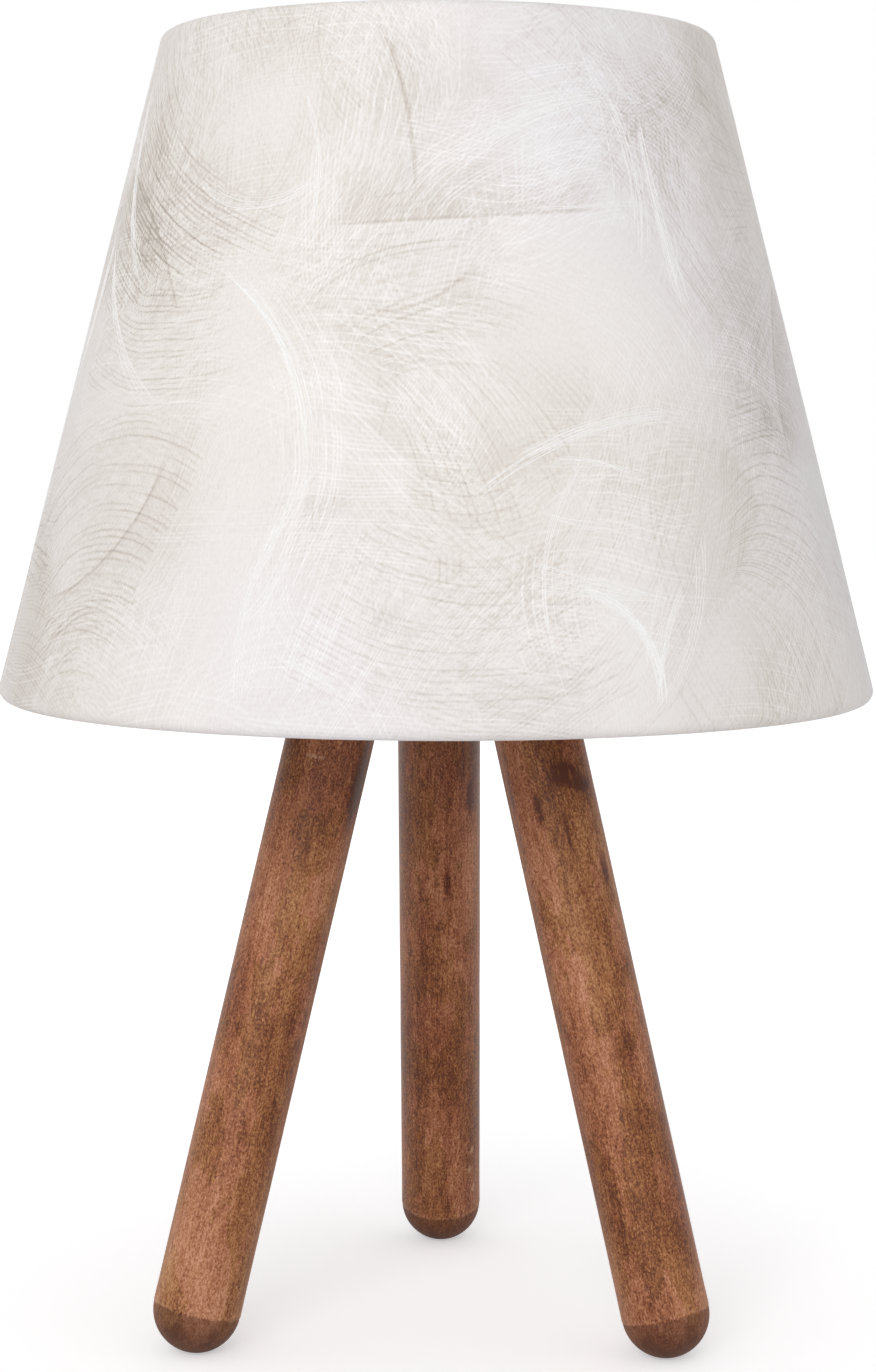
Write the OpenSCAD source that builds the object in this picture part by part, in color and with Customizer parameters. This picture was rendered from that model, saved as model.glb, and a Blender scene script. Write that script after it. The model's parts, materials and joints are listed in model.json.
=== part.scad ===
// Table lamp: a conical cloth shade on a tripod of round wooden legs.
// Sizes are in millimetres, +Z is up, and the origin is on the table under the middle of the lamp.
// The front of the lamp faces -Y, with one leg at the back and one on each side.

/* [Shade] */
// Outside diameter of the lower rim
shade_bottom_d = 220; // [190:1:250]
// Outside diameter of the upper rim
shade_top_d = 138; // [115:1:165]
// Height from rim to rim
shade_h = 164; // [145:1:190]
// Thickness of the cover cloth
cloth_t = 0.6; // [0.4:0.1:1.0]
// Thickness of the stiff lining sheet under the cloth
lining_t = 0.5; // [0.3:0.1:1.0]
// Diameter of the two rim wires
rim_wire_d = 3; // [2:0.1:4]
// Width of the tape over the lining's joint at the back
seam_tape_w = 14; // [8:1:25]
// Thickness of that tape
seam_tape_t = 0.3; // [0.2:0.1:0.6]

/* [Shade carrier] */
// Height of the carrier ring above the shade's lower rim
carrier_rise = 57; // [45:1:65]
// Outside diameter of the carrier ring
carrier_ring_d = 46; // [44:0.5:54]
// Thickness of the carrier ring
carrier_ring_t = 1.5; // [1:0.1:2.5]
// Number of arms from the carrier ring to the lower rim wire
arm_count = 3; // [3:1:4]
// Diameter of an arm
arm_d = 2.8; // [2:0.1:3.6]
// Direction of the first arm
arm_turn = 30; // [20:1:40]

/* [Legs] */
// Diameter of a leg
leg_d = 22; // [18:0.5:24]
// Length of a leg, with its rounded end
leg_len = 185; // [165:1:205]
// Radius of the circle on which the feet stand
foot_circle_r = 67; // [55:1:80]
// Radius of the circle through the middles of the legs' upper ends
top_circle_r = 22.8; // [22:0.1:26]
// How much of the rounded end is worn flat under the foot
foot_flat = 0.3; // [0.1:0.1:0.8]
// Chamfer round a leg's upper end
leg_chamfer = 0.8; // [0.4:0.1:2]
// Turn of the tripod about the middle
tripod_turn = -1.5; // [-10:0.5:10]

/* [Hub] */
// Height of the hub
hub_h = 27; // [24:1:36]
// Wood left outside the leg sockets at the hub's underside
hub_wall = 4.7; // [3:0.1:8]
// Radius of the hub's edges
hub_edge_r = 3; // [1:0.5:5]
// Depth of a leg socket along the leg
socket_depth = 16; // [12:1:18]
// Glue gap round a leg in its socket
socket_gap = 0.1; // [0.05:0.05:0.2]
// Diameter of the recess for the nut in the hub's underside
nut_recess_d = 25; // [23:0.5:26]
// Depth of that recess
nut_recess_depth = 6; // [5:0.5:9]

/* [Leg screws] */
// Diameter over the screw's thread
screw_d = 4; // [3:0.5:5]
// Length of a screw
screw_len = 35; // [30:1:50]
// Diameter of the countersunk head
screw_head_d = 8; // [7:0.5:9]

/* [Threaded tube] */
// Diameter of the tube
tube_d = 10; // [9:0.5:11]
// Bore of the tube
tube_bore_d = 7.6; // [7.2:0.1:8]
// Length of tube that shows below the hub
tube_tail = 1; // [0.5:0.5:5]
// Width of the tube's nut across its flats
nut_flats = 14; // [13:0.5:16]
// Height of the nut
nut_h = 3; // [2:0.5:4]
// Diameter of the washer over the nut
tube_washer_d = 20; // [17:0.5:22]
// Thickness of the washer over the nut
tube_washer_t = 1.2; // [0.8:0.1:2]
// Diameter of the washer on top of the hub
top_washer_d = 22; // [16:1:28]
// Thickness of the washer on top of the hub
top_washer_t = 1; // [0.6:0.1:2]
// Bore of the bush where the cord goes in
bush_bore_d = 6.3; // [5:0.1:6.5]
// Length of the bush inside the tube
bush_len = 10; // [8:0.5:14]
// Diameter of the bush's flange
bush_flange_d = 12; // [10.5:0.5:16]
// Thickness of the bush's flange
bush_flange_t = 1.5; // [1:0.1:3]

/* [Lampholder] */
// Outside diameter of the lampholder's body
holder_d = 30; // [29.5:0.5:32]
// Height of the lower half
cap_h = 20; // [18:1:26]
// Thickness of the floor of the lower half
cap_floor_t = 3; // [2:0.5:4]
// Height over which the upper half is screwed on the lower half
cap_joint_h = 6; // [4:0.5:8]
// Height of the shoulder above the lower half
shoulder_rise = 6.5; // [5:0.5:10]
// Diameter of the shoulder that carries the shade
shoulder_d = 36; // [34:0.5:38]
// Thickness of the shoulder
shoulder_t = 2; // [1.5:0.5:3]
// Diameter of the outside thread for the retaining ring
shade_thread_d = 28; // [27.6:0.1:28.4]
// Pitch of that thread
shade_thread_pitch = 2; // [1.5:0.5:2.5]
// Length of that thread
shade_thread_len = 20; // [18:1:24]
// Wall of the upper half inside its thread
sleeve_wall = 2; // [1.8:0.1:2.2]
// Height of the neck that grips the tube
neck_h = 6.5; // [6:0.5:7.5]
// Depth of the centre contact below the lampholder's mouth
contact_depth = 24; // [23:0.5:24.5]
// Length of the threaded shell that takes the bulb
shell_len = 18; // [14:0.5:19]
// Thickness of the threaded shell
shell_t = 0.35; // [0.25:0.05:0.45]
// Side of a terminal block, from the middle outwards
terminal_w = 5; // [4:0.5:5.5]
// Height of a terminal block
terminal_h = 7; // [6:0.5:8]
// Diameter of the lock screw that stops the lampholder turning on its tube
lock_screw_d = 3; // [2.5:0.5:4]

/* [Retaining ring] */
// Diameter of the ring's flange
ring_d = 39; // [37:0.5:41]
// Diameter over the ring's grip, without its ribs
ring_grip_d = 34; // [33:0.5:35.5]
// Height of the ring
ring_h = 7; // [5:0.5:9]
// Thickness of the ring's flange
ring_flange_t = 2; // [1.5:0.5:3]
// Number of grip ribs
ring_ribs = 24; // [12:2:36]
// Diameter of a grip rib
ring_rib_d = 1.6; // [1:0.1:2]

/* [Bulb] */
// Diameter of the globe
bulb_d = 45; // [42:1:50]
// Length of the bulb from its contact to its top
bulb_len = 78; // [72:1:84]
// Height above the contact at which globe and body meet
bulb_seam_h = 47; // [44:1:50]
// Wall of the globe
globe_t = 1; // [0.6:0.1:1.5]
// Wall of the bulb's plastic body
bulb_wall = 1.2; // [0.8:0.1:1.8]
// Diameter over the thread of the bulb's cap
lamp_thread_d = 13.9; // [13.6:0.05:14.1]
// Pitch of that thread
lamp_thread_pitch = 2.82; // [2.5:0.02:3]
// Depth of that thread
lamp_thread_depth = 0.55; // [0.4:0.05:0.6]
// Height of the cap with its contact
bulb_cap_h = 25; // [25:0.5:26]
// Diameter of the LED board
led_board_d = 36; // [33:0.5:38]

/* [Fits] */
// Gap all round between two threads that turn on each other
thread_gap = 0.08; // [0.05:0.01:0.1]
// Gap between fixed pieces that are pushed into one another
push_gap = 0.05; // [0.03:0.01:0.1]
// Gap between the carrier ring and the thread that it is dropped over
drop_gap = 0.3; // [0.2:0.05:0.5]

/* [Hidden] */
$fn = 120;
tiny = 0.01;

// Colours
walnut = [0.42, 0.27, 0.17];
dark_walnut = [0.33, 0.2, 0.12];
steel = [0.72, 0.73, 0.75];
brass = [0.8, 0.65, 0.35];
white_plastic = [0.93, 0.93, 0.91];
black_plastic = [0.08, 0.08, 0.08];
porcelain = [0.95, 0.94, 0.9];
off_white_cloth = [0.91, 0.89, 0.86];

// Legs: a leg's own axis starts at the middle of its rounded end, and t is measured along it
leg_r = leg_d / 2;
foot_z = leg_r - foot_flat;
leg_axis_len = leg_len - leg_r;
leg_lean = asin((foot_circle_r - top_circle_r) / leg_axis_len);
back_leg_at = 90 + tripod_turn;
left_leg_at = back_leg_at + 360 / 3;
right_leg_at = left_leg_at + 360 / 3;
leg_directions = [back_leg_at, left_leg_at, right_leg_at];

// Hub
hub_z = foot_z + (leg_axis_len - socket_depth) * cos(leg_lean);
hub_top_z = hub_z + hub_h;
socket_mouth_r = top_circle_r + socket_depth * sin(leg_lean);
hub_r = socket_mouth_r + leg_r / cos(leg_lean) + hub_wall;
tube_hole_r = tube_d / 2 + push_gap;

// Leg screws: the head's top lies on the leg's axis, just under the hub's upper face
screw_head_h = 0.6 * (screw_head_d - screw_d);
screw_sink = screw_head_d / 2 * sin(leg_lean) + 0.2;
screw_head_t = (hub_top_z - screw_sink - foot_z) / cos(leg_lean);
screw_tip_t = screw_head_t - screw_len;
screw_tip_h = screw_d;
screw_pitch = 0.45 * screw_d;
screw_thread_depth = 0.12 * screw_d;
screw_cross_w = screw_head_d / 8;

// Tube, its nut, washers and bush
recess_top_z = hub_z + nut_recess_depth;
tube_bottom_z = hub_z - tube_tail;
holder_z = hub_top_z + top_washer_t;
tube_pitch = 1;
tube_thread_depth = 0.4;
bush_z = tube_bottom_z - bush_flange_t;

// Lampholder, from the tube upwards
cap_r = holder_d / 2;
cap_edge = 1.5;
joint_wall = 1.55;
joint_r = cap_r - joint_wall;
joint_lip_t = 1.3;
cap_bore_r = joint_r - push_gap - joint_lip_t;
cap_top_z = holder_z + cap_h;
shoulder_z = cap_top_z + shoulder_rise;
mouth_z = shoulder_z + shade_thread_len;
shade_thread_r = shade_thread_d / 2;
shade_thread_depth = 0.9;
sleeve_bore_r = shade_thread_r - sleeve_wall;
neck_wall = 3;
neck_r = tube_d / 2 + neck_wall;
insert_ledge_w = 1.6;
channel_r = cap_bore_r - insert_ledge_w;

// Ceramic insert: its flange is held between the two halves
insert_flange_t = 2;
insert_depth = 10.5;
insert_ledge_z = cap_top_z - insert_depth;
insert_top_z = mouth_z - 2.5;
contact_z = mouth_z - contact_depth;
shell_z = contact_z + 1.5;
lamp_thread_r = lamp_thread_d / 2;
shell_crest_r = lamp_thread_r + thread_gap;
shell_r = shell_crest_r + lamp_thread_depth + shell_t;
shell_floor_t = 0.4;
shell_hole_r = 5.2;
contact_pit_r = 5;
contact_pit_z = contact_z - 1.5;
leaf_z = contact_z - 3.5;
leaf_t = 0.5;
leaf_w = 5;
leaf_foot_x = -7.2;
rivet_x = 6;
rivet_r = 0.7;
rivet_head_r = 0.9;
rivet_head_h = 0.4;

// Terminal blocks stand in pockets in the insert's underside
terminal_z = insert_ledge_z + 1;
terminal_top_z = terminal_z + terminal_h;
terminal_edge = 1.3;
terminal_x = rivet_x - terminal_edge;
terminal_y = 3;
wire_hole_r = 1.3;
wire_hole_x = terminal_x + terminal_w - wire_hole_r - 0.2;
terminal_screw_r = 1.2;
terminal_screw_z = terminal_z + 3;
terminal_head_r = 1.8;
terminal_head_h = 1.4;
terminal_head_x = terminal_x + terminal_w;
lock_screw_z = holder_z + (cap_floor_t + neck_h) / 2;
lock_socket_w = lock_screw_d / 2;
lock_socket_depth = 2;
lock_screw_len = channel_r - tube_d / 2 + lock_screw_d / 2;

// Carrier ring and retaining ring
carrier_ring_r = carrier_ring_d / 2;
carrier_hole_r = shade_thread_r + drop_gap;
ring_z = shoulder_z + carrier_ring_t;
ring_bore_r = shade_thread_r + thread_gap;

// Shade: wires run inside the lining, and the cloth is rolled round them. In the section, x runs up the
// slope from the lower wire's middle to the upper wire's middle, and y runs inwards from the slope.
shade_z = shoulder_z - carrier_rise;
wire_r = rim_wire_d / 2;
roll_r = wire_r + lining_t + cloth_t;
lower_wire = [shade_bottom_d / 2 - roll_r, shade_z + roll_r];
upper_wire = [shade_top_d / 2 - roll_r, shade_z + shade_h - roll_r];
slope = upper_wire - lower_wire;
slope_len = norm(slope);
slope_angle = atan2(slope[1], slope[0]);
seam_margin = 6;
seam_angle = seam_tape_w / ((lower_wire[0] + upper_wire[0]) / 2) * 180 / PI;
seam_at = 90;

// Arms run straight from the carrier ring's rim to the lower wire
arm_r = arm_d / 2;
arm_start = [carrier_ring_r - arm_r / 2, shoulder_z + carrier_ring_t / 2];
arm_run = lower_wire - arm_start;
arm_tilt = atan2(arm_run[0], arm_run[1]);
arm_gap = 0.3;

// Bulb, with heights above its contact
bulb_r = bulb_d / 2;
globe_z = bulb_len - bulb_r;
seam_r = sqrt(bulb_r * bulb_r - (globe_z - bulb_seam_h) * (globe_z - bulb_seam_h));
bulb_contact_r = 2.4;
bulb_contact_h = 1.2;
insulator_h = 2.6;
insulator_plug_h = 1.5;
cap_bottom_h = bulb_contact_h + insulator_h;
cap_thread_top = bulb_cap_h - 4;
cap_bore = lamp_thread_r - lamp_thread_depth - shell_t;
cap_skirt_h = 3;
cap_skirt_step = 1.35;
cap_skirt_r = lamp_thread_r + cap_skirt_step;
body_neck_r = cap_skirt_r - shell_t - push_gap;
body_step = 0.3;
body_start_r = cap_skirt_r + body_step;
flare_steps = 12;
led_board_t = 1.5;
led_ledge_h = 2;
led_ledge_w = 5;
led_chip_w = 2.8;
led_chip_t = 0.7;
driver_w = 9;
driver_t = 1.2;
driver_gap = 2;
driver_bottom_h = cap_bottom_h + insulator_plug_h + driver_gap;
capacitor_d = 6.4;
capacitor_h = 9;
coil_size = [6, 4.8, 7];
parts_rise = 6;

// ---- Shared shapes ----

// Outline of round ridges of one pitch, from height a to height b, at crest radius r.
// A negative depth gives the ridges inside a hole.
function ridges(r, depth, pitch, a, b) = concat(
    [[r - depth, a]],
    [for (i = [0 : floor((b - a) / pitch) - 1], step = [[0.15, depth], [0.4, 0], [0.6, 0], [0.85, depth]])
        [r - step[1], a + (i + step[0]) * pitch]],
    [[r - depth, b]]
);

// The same points in the other order
function backwards(points) = [for (i = [len(points) - 1 : -1 : 0]) points[i]];

// A flat ring from height a to height b
module ring(outer_r, inner_r, a, b) {
    translate([0, 0, a]) difference() {
        cylinder(r = outer_r, h = b - a);
        translate([0, 0, -1]) cylinder(r = inner_r, h = b - a + 2);
    }
}

// A cylinder between two heights
module post(r, a, b) {
    translate([0, 0, a]) cylinder(r = r, h = b - a);
}

// Places its children on the axis of the leg that stands in direction at, t from its rounded end's middle
module on_leg(at, t = 0) {
    rotate([0, 0, at])
        translate([foot_circle_r, 0, foot_z])
            rotate([0, -leg_lean, 0])
                translate([0, 0, t])
                    children();
}

// Turns a section drawn along the shade's slope round the lamp's axis
module round_shade(angle = 360) {
    rotate_extrude(angle = angle)
        translate(lower_wire)
            rotate(slope_angle)
                children();
}

// Places its children along each arm, from the carrier ring to the lower wire
module on_arms() {
    for (i = [0 : arm_count - 1])
        rotate([0, 0, arm_turn + i * 360 / arm_count])
            translate([arm_start[0], 0, arm_start[1]])
                rotate([0, arm_tilt, 0])
                    children();
}

// ---- Legs and hub ----

// One leg: a dowel with a rounded lower end, worn flat where it stands, and a hole for its screw on top
module leg(at) {
    color(walnut) difference() {
        on_leg(at) rotate_extrude() {
            intersection() {
                circle(r = leg_r);
                translate([0, -leg_r]) square([leg_r, leg_r]);
            }
            polygon([
                [0, 0], [leg_r, 0], [leg_r, leg_axis_len - leg_chamfer],
                [leg_r - leg_chamfer, leg_axis_len], [0, leg_axis_len]
            ]);
        }
        translate([-2 * foot_circle_r, -2 * foot_circle_r, -leg_d])
            cube([4 * foot_circle_r, 4 * foot_circle_r, leg_d]);
        on_leg(at, screw_tip_t) cylinder(r = screw_d / 2 + push_gap, h = screw_len);
    }
}

module leg_left() leg(left_leg_at);

module leg_right() leg(right_leg_at);

module leg_back() leg(back_leg_at);

// Turned block with a rounded edge, three leaning sockets, screw holes and the hole for the tube
module hub() {
    color(dark_walnut) difference() {
        translate([0, 0, hub_z]) rotate_extrude() {
            square([hub_r - hub_edge_r, hub_h]);
            translate([0, hub_edge_r]) square([hub_r, hub_h - 2 * hub_edge_r]);
            translate([hub_r - hub_edge_r, hub_edge_r]) circle(r = hub_edge_r);
            translate([hub_r - hub_edge_r, hub_h - hub_edge_r]) circle(r = hub_edge_r);
        }
        for (at = leg_directions) {
            on_leg(at, leg_axis_len - socket_depth - leg_d)
                cylinder(r = leg_r + socket_gap, h = socket_depth + leg_d);
            on_leg(at, leg_axis_len - 1)
                cylinder(r = screw_d / 2 + push_gap, h = socket_depth);
            on_leg(at, screw_head_t - screw_head_h)
                cylinder(r1 = screw_d / 2 + push_gap, r2 = screw_head_d / 2 + push_gap, h = screw_head_h);
            on_leg(at, screw_head_t - tiny)
                cylinder(r = screw_head_d / 2 + push_gap, h = socket_depth);
        }
        post(tube_hole_r, hub_z - 1, hub_top_z + 1);
        post(nut_recess_d / 2, hub_z - 1, recess_top_z);
    }
}

// Countersunk wood screws with a cross slot
module leg_screws() {
    color(steel) for (at = leg_directions) on_leg(at, screw_tip_t) difference() {
        rotate_extrude() polygon(concat(
            [[0, 0]],
            ridges(screw_d / 2, screw_thread_depth, screw_pitch, screw_tip_h, 0.65 * screw_len),
            [
                [screw_d / 2, 0.65 * screw_len], [screw_d / 2, screw_len - screw_head_h],
                [screw_head_d / 2, screw_len], [0, screw_len]
            ]
        ));
        for (turn = [0, 90])
            rotate([0, 0, turn])
                translate([-screw_head_d / 4, -screw_cross_w / 2, screw_len - screw_head_h])
                    cube([screw_head_d / 2, screw_cross_w, screw_head_h + 1]);
    }
}

// ---- Threaded tube ----

// Hollow threaded rod through the hub into the lampholder's neck
module threaded_tube() {
    color(steel) difference() {
        rotate_extrude() polygon(concat(
            [[0, tube_bottom_z]],
            ridges(tube_d / 2, tube_thread_depth, tube_pitch, tube_bottom_z, holder_z + neck_h),
            [[0, holder_z + neck_h]]
        ));
        post(tube_bore_d / 2, tube_bottom_z - 1, holder_z + neck_h + 1);
    }
}

module tube_washer() {
    color(steel) ring(tube_washer_d / 2, tube_hole_r, recess_top_z - tube_washer_t, recess_top_z);
}

// Hexagon nut in the hub's recess
module tube_nut() {
    top_z = recess_top_z - tube_washer_t;
    color(steel) difference() {
        translate([0, 0, top_z - nut_h]) cylinder(d = nut_flats / cos(30), h = nut_h, $fn = 6);
        post(tube_hole_r, top_z - nut_h - 1, top_z + 1);
    }
}

module top_washer() {
    color(steel) ring(top_washer_d / 2, tube_hole_r, hub_top_z, hub_top_z + top_washer_t);
}

// Flanged bush that keeps the cord off the tube's edge
module cord_bush() {
    color(black_plastic) difference() {
        union() {
            post(bush_flange_d / 2, bush_z, tube_bottom_z);
            post(tube_bore_d / 2 - push_gap, bush_z, tube_bottom_z + bush_len);
        }
        post(bush_bore_d / 2, bush_z - 1, tube_bottom_z + bush_len + 1);
    }
}

// ---- Lampholder ----

// Lower half: a cup with a neck for the tube, a ledge for the insert and a thread for the upper half
module holder_cap() {
    color(white_plastic) difference() {
        translate([0, 0, holder_z]) rotate_extrude() polygon([
            [0, 0], [cap_r - cap_edge, 0], [cap_r, cap_edge], [cap_r, cap_h - cap_joint_h],
            [joint_r - push_gap, cap_h - cap_joint_h], [joint_r - push_gap, cap_h], [cap_bore_r, cap_h],
            [cap_bore_r, cap_h - insert_depth], [channel_r, cap_h - insert_depth],
            [channel_r, cap_floor_t], [neck_r, cap_floor_t], [neck_r, neck_h], [0, neck_h]
        ]);
        post(tube_hole_r, holder_z - 1, holder_z + neck_h + 1);
        on_lock_screw() cylinder(r = lock_screw_d / 2 + push_gap, h = cap_r);
    }
}

// Axis of the lock screw, outwards through the neck towards the back
module on_lock_screw() {
    translate([0, tube_d / 2, lock_screw_z]) rotate([-90, 0, 0]) children();
}

// Grub screw with a square socket
module lock_screw() {
    color(steel) on_lock_screw() difference() {
        cylinder(r = lock_screw_d / 2, h = lock_screw_len);
        translate([-lock_socket_w / 2, -lock_socket_w / 2, lock_screw_len - lock_socket_depth])
            cube([lock_socket_w, lock_socket_w, lock_socket_depth + 1]);
    }
}

// Upper half: a skirt over the lower half, the shoulder for the shade and the outside thread
module holder_sleeve() {
    skirt_z = cap_top_z - cap_joint_h;
    step_z = cap_top_z + insert_flange_t;
    color(white_plastic) rotate_extrude() polygon(concat(
        [
            [joint_r, skirt_z], [cap_r, skirt_z], [cap_r, shoulder_z - shoulder_t],
            [shoulder_d / 2, shoulder_z - shoulder_t], [shoulder_d / 2, shoulder_z]
        ],
        ridges(shade_thread_r, shade_thread_depth, shade_thread_pitch, shoulder_z, mouth_z),
        [[sleeve_bore_r, mouth_z], [sleeve_bore_r, step_z], [joint_r, step_z]]
    ));
}

// Ceramic insert that carries the contacts
module holder_insert() {
    color(porcelain) difference() {
        union() {
            post(cap_bore_r - push_gap, insert_ledge_z, cap_top_z);
            post(joint_r - push_gap, cap_top_z, cap_top_z + insert_flange_t);
            post(sleeve_bore_r - push_gap, cap_top_z, insert_top_z);
        }
        post(shell_r + push_gap, shell_z, insert_top_z + 1);
        post(contact_pit_r, contact_pit_z, shell_z + 1);
        translate([leaf_foot_x, -leaf_w / 2 - 0.5, leaf_z])
            cube([-leaf_foot_x + contact_pit_r / 2, leaf_w + 1, shell_z - leaf_z + 1]);
        for (side = [-1, 1]) {
            translate([side * rivet_x, 0, terminal_z]) cylinder(r = rivet_r + push_gap, h = shell_z - terminal_z);
            translate([side * (terminal_x + terminal_w / 2), 0, (insert_ledge_z + terminal_top_z - 1) / 2])
                cube([
                    terminal_w + 2 * push_gap, 2 * (terminal_y + push_gap),
                    terminal_top_z - insert_ledge_z + 1
                ], center = true);
            translate([side * terminal_head_x, 0, terminal_screw_z])
                rotate([0, side * 90, 0]) cylinder(r = terminal_head_r + 2 * push_gap, h = cap_r);
        }
    }
}

// Threaded brass shell that grips the bulb's cap
module screw_shell() {
    top_z = shell_z + shell_len;
    color(brass) difference() {
        rotate_extrude() polygon(concat(
            [[shell_hole_r, shell_z], [shell_r, shell_z], [shell_r, top_z]],
            backwards(ridges(
                shell_crest_r, -lamp_thread_depth, lamp_thread_pitch, shell_z + shell_floor_t, top_z
            )),
            [[shell_hole_r, shell_z + shell_floor_t]]
        ));
        translate([rivet_x, 0, shell_z - 1]) cylinder(r = rivet_r + push_gap, h = 2);
    }
}

// Brass leaf, bent up under the bulb's contact
module centre_contact() {
    color(brass) difference() {
        translate([0, leaf_w / 2, 0]) rotate([90, 0, 0]) linear_extrude(leaf_w) polygon([
            [leaf_foot_x, leaf_z], [-3.4, leaf_z], [-1.4, contact_z - leaf_t], [1.6, contact_z - leaf_t],
            [2.2, contact_z - 1.4], [2.2, contact_z - 0.9], [1.8, contact_z], [-1.6, contact_z],
            [-3.6, leaf_z + leaf_t], [leaf_foot_x, leaf_z + leaf_t]
        ]);
        translate([-rivet_x, 0, leaf_z - 1]) cylinder(r = rivet_r + push_gap, h = 3);
    }
}

// Rivets from the leaf and from the shell's floor down into the terminal blocks
module contact_rivets() {
    bottom_z = terminal_top_z - 2;
    color(brass) for (rivet = [[-rivet_x, leaf_z + leaf_t], [rivet_x, shell_z + shell_floor_t]])
        translate([rivet[0], 0, 0]) {
            post(rivet_r, bottom_z, rivet[1]);
            post(rivet_head_r, rivet[1], rivet[1] + rivet_head_h);
        }
}

// Two brass blocks with a hole for a wire from below and a hole for the clamping screw
module terminal_blocks() {
    color(brass) for (side = [0, 180]) rotate([0, 0, side]) difference() {
        translate([terminal_x, -terminal_y, terminal_z]) cube([terminal_w, 2 * terminal_y, terminal_h]);
        translate([rivet_x, 0, terminal_top_z - 2]) cylinder(r = rivet_r + push_gap, h = 3);
        translate([wire_hole_x, 0, terminal_z - 1]) cylinder(r = wire_hole_r, h = 6);
        translate([wire_hole_x, 0, terminal_screw_z])
            rotate([0, 90, 0]) cylinder(r = terminal_screw_r + push_gap, h = terminal_w);
    }
}

// Slotted screws that clamp the wires
module terminal_screws() {
    color(steel) for (side = [0, 180])
        rotate([0, 0, side]) translate([wire_hole_x, 0, terminal_screw_z]) rotate([0, 90, 0]) difference() {
            union() {
                cylinder(r = terminal_screw_r, h = terminal_head_x - wire_hole_x);
                translate([0, 0, terminal_head_x - wire_hole_x])
                    cylinder(r = terminal_head_r, h = terminal_head_h);
            }
            translate([-terminal_head_r, -0.3, terminal_head_x - wire_hole_x + terminal_head_h / 2])
                cube([2 * terminal_head_r, 0.6, terminal_head_h]);
        }
}

// Ring that screws down on the shade's carrier ring, with a ribbed grip
module retaining_ring() {
    color(white_plastic) {
        translate([0, 0, ring_z]) rotate_extrude() polygon(concat(
            [
                [ring_d / 2, 0], [ring_d / 2, ring_flange_t], [ring_grip_d / 2, ring_flange_t],
                [ring_grip_d / 2, ring_h - 0.6], [ring_grip_d / 2 - 0.6, ring_h]
            ],
            backwards(ridges(ring_bore_r, -shade_thread_depth, shade_thread_pitch, 0, ring_h))
        ));
        for (i = [0 : ring_ribs - 1])
            rotate([0, 0, i * 360 / ring_ribs])
                translate([ring_grip_d / 2, 0, ring_z + ring_flange_t])
                    cylinder(d = ring_rib_d, h = ring_h - ring_flange_t - 0.6);
    }
}

// ---- Shade ----

// Cover cloth, rolled outwards round both rim wires and notched where the arms come in
module shade_cloth() {
    color(off_white_cloth) difference() {
        round_shade() {
            translate([0, -roll_r]) square([slope_len, cloth_t]);
            rolled_edge();
            translate([slope_len, 0]) mirror([1, 0]) rolled_edge();
        }
        on_arms() cylinder(r = arm_r + arm_gap, h = norm(arm_run));
    }
}

// Section of the cloth round a wire: over the outside, the rim and back up to the wire's inner side
module rolled_edge() {
    difference() {
        circle(r = roll_r);
        circle(r = wire_r + push_gap);
        translate([0, -roll_r + cloth_t]) square([2 * roll_r, roll_r - cloth_t]);
    }
}

// Stiff sheet under the cloth
module shade_lining() {
    color(white_plastic) round_shade()
        translate([0, -wire_r - lining_t]) square([slope_len, lining_t]);
}

module bottom_wire() {
    color(steel) round_shade() circle(r = wire_r);
}

module top_wire() {
    color(steel) round_shade() translate([slope_len, 0]) circle(r = wire_r);
}

// Tape down the inside of the lining, over its joint
module seam_tape() {
    color(white_plastic) rotate([0, 0, seam_at - seam_angle / 2]) round_shade(seam_angle)
        translate([seam_margin, -wire_r]) square([slope_len - 2 * seam_margin, seam_tape_t]);
}

// Flat ring that rests on the lampholder's shoulder
module fitter_ring() {
    color(steel) ring(carrier_ring_r, carrier_hole_r, shoulder_z, shoulder_z + carrier_ring_t);
}

// Arms, welded to the carrier ring and to the lower wire
module fitter_arms() {
    color(steel) difference() {
        on_arms() cylinder(r = arm_r, h = norm(arm_run));
        post(carrier_ring_r, shoulder_z, shoulder_z + carrier_ring_t);
        round_shade() circle(r = wire_r);
    }
}

// ---- Bulb ----

// Places its children above the bulb's contact
module on_bulb() {
    translate([0, 0, contact_z]) children();
}

module bulb_contact() {
    color(steel) on_bulb() cylinder(r = bulb_contact_r, h = bulb_contact_h);
}

// Black cone between the contact and the cap, with a plug inside the cap
module bulb_insulator() {
    color(black_plastic) on_bulb() {
        translate([0, 0, bulb_contact_h])
            cylinder(r1 = bulb_contact_r + 0.6, r2 = cap_bore, h = insulator_h);
        post(cap_bore - push_gap, cap_bottom_h - tiny, cap_bottom_h + insulator_plug_h);
    }
}

// Threaded metal cap with a plain skirt
module bulb_cap() {
    skirt_z = bulb_cap_h - cap_skirt_h;
    color(steel) on_bulb() rotate_extrude() polygon(concat(
        ridges(lamp_thread_r, lamp_thread_depth, lamp_thread_pitch, cap_bottom_h, cap_thread_top),
        [
            [cap_skirt_r, skirt_z], [cap_skirt_r, bulb_cap_h], [cap_skirt_r - shell_t, bulb_cap_h],
            [cap_skirt_r - shell_t, skirt_z + 0.2], [cap_bore, cap_thread_top + 0.2], [cap_bore, cap_bottom_h]
        ]
    ));
}

// Radius of the bulb's body, from its foot (t = 0) to the seam (t = 1): half a cosine wave
function flare_r(t) = body_start_r + (seam_r - body_start_r) * (1 - cos(180 * pow(t, 0.8))) / 2;

// Outline of the body, brought in by inset
function flare(inset) = [
    for (i = [0 : flare_steps])
        [flare_r(i / flare_steps) - inset, bulb_cap_h + (bulb_seam_h - bulb_cap_h) * i / flare_steps]
];

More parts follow.
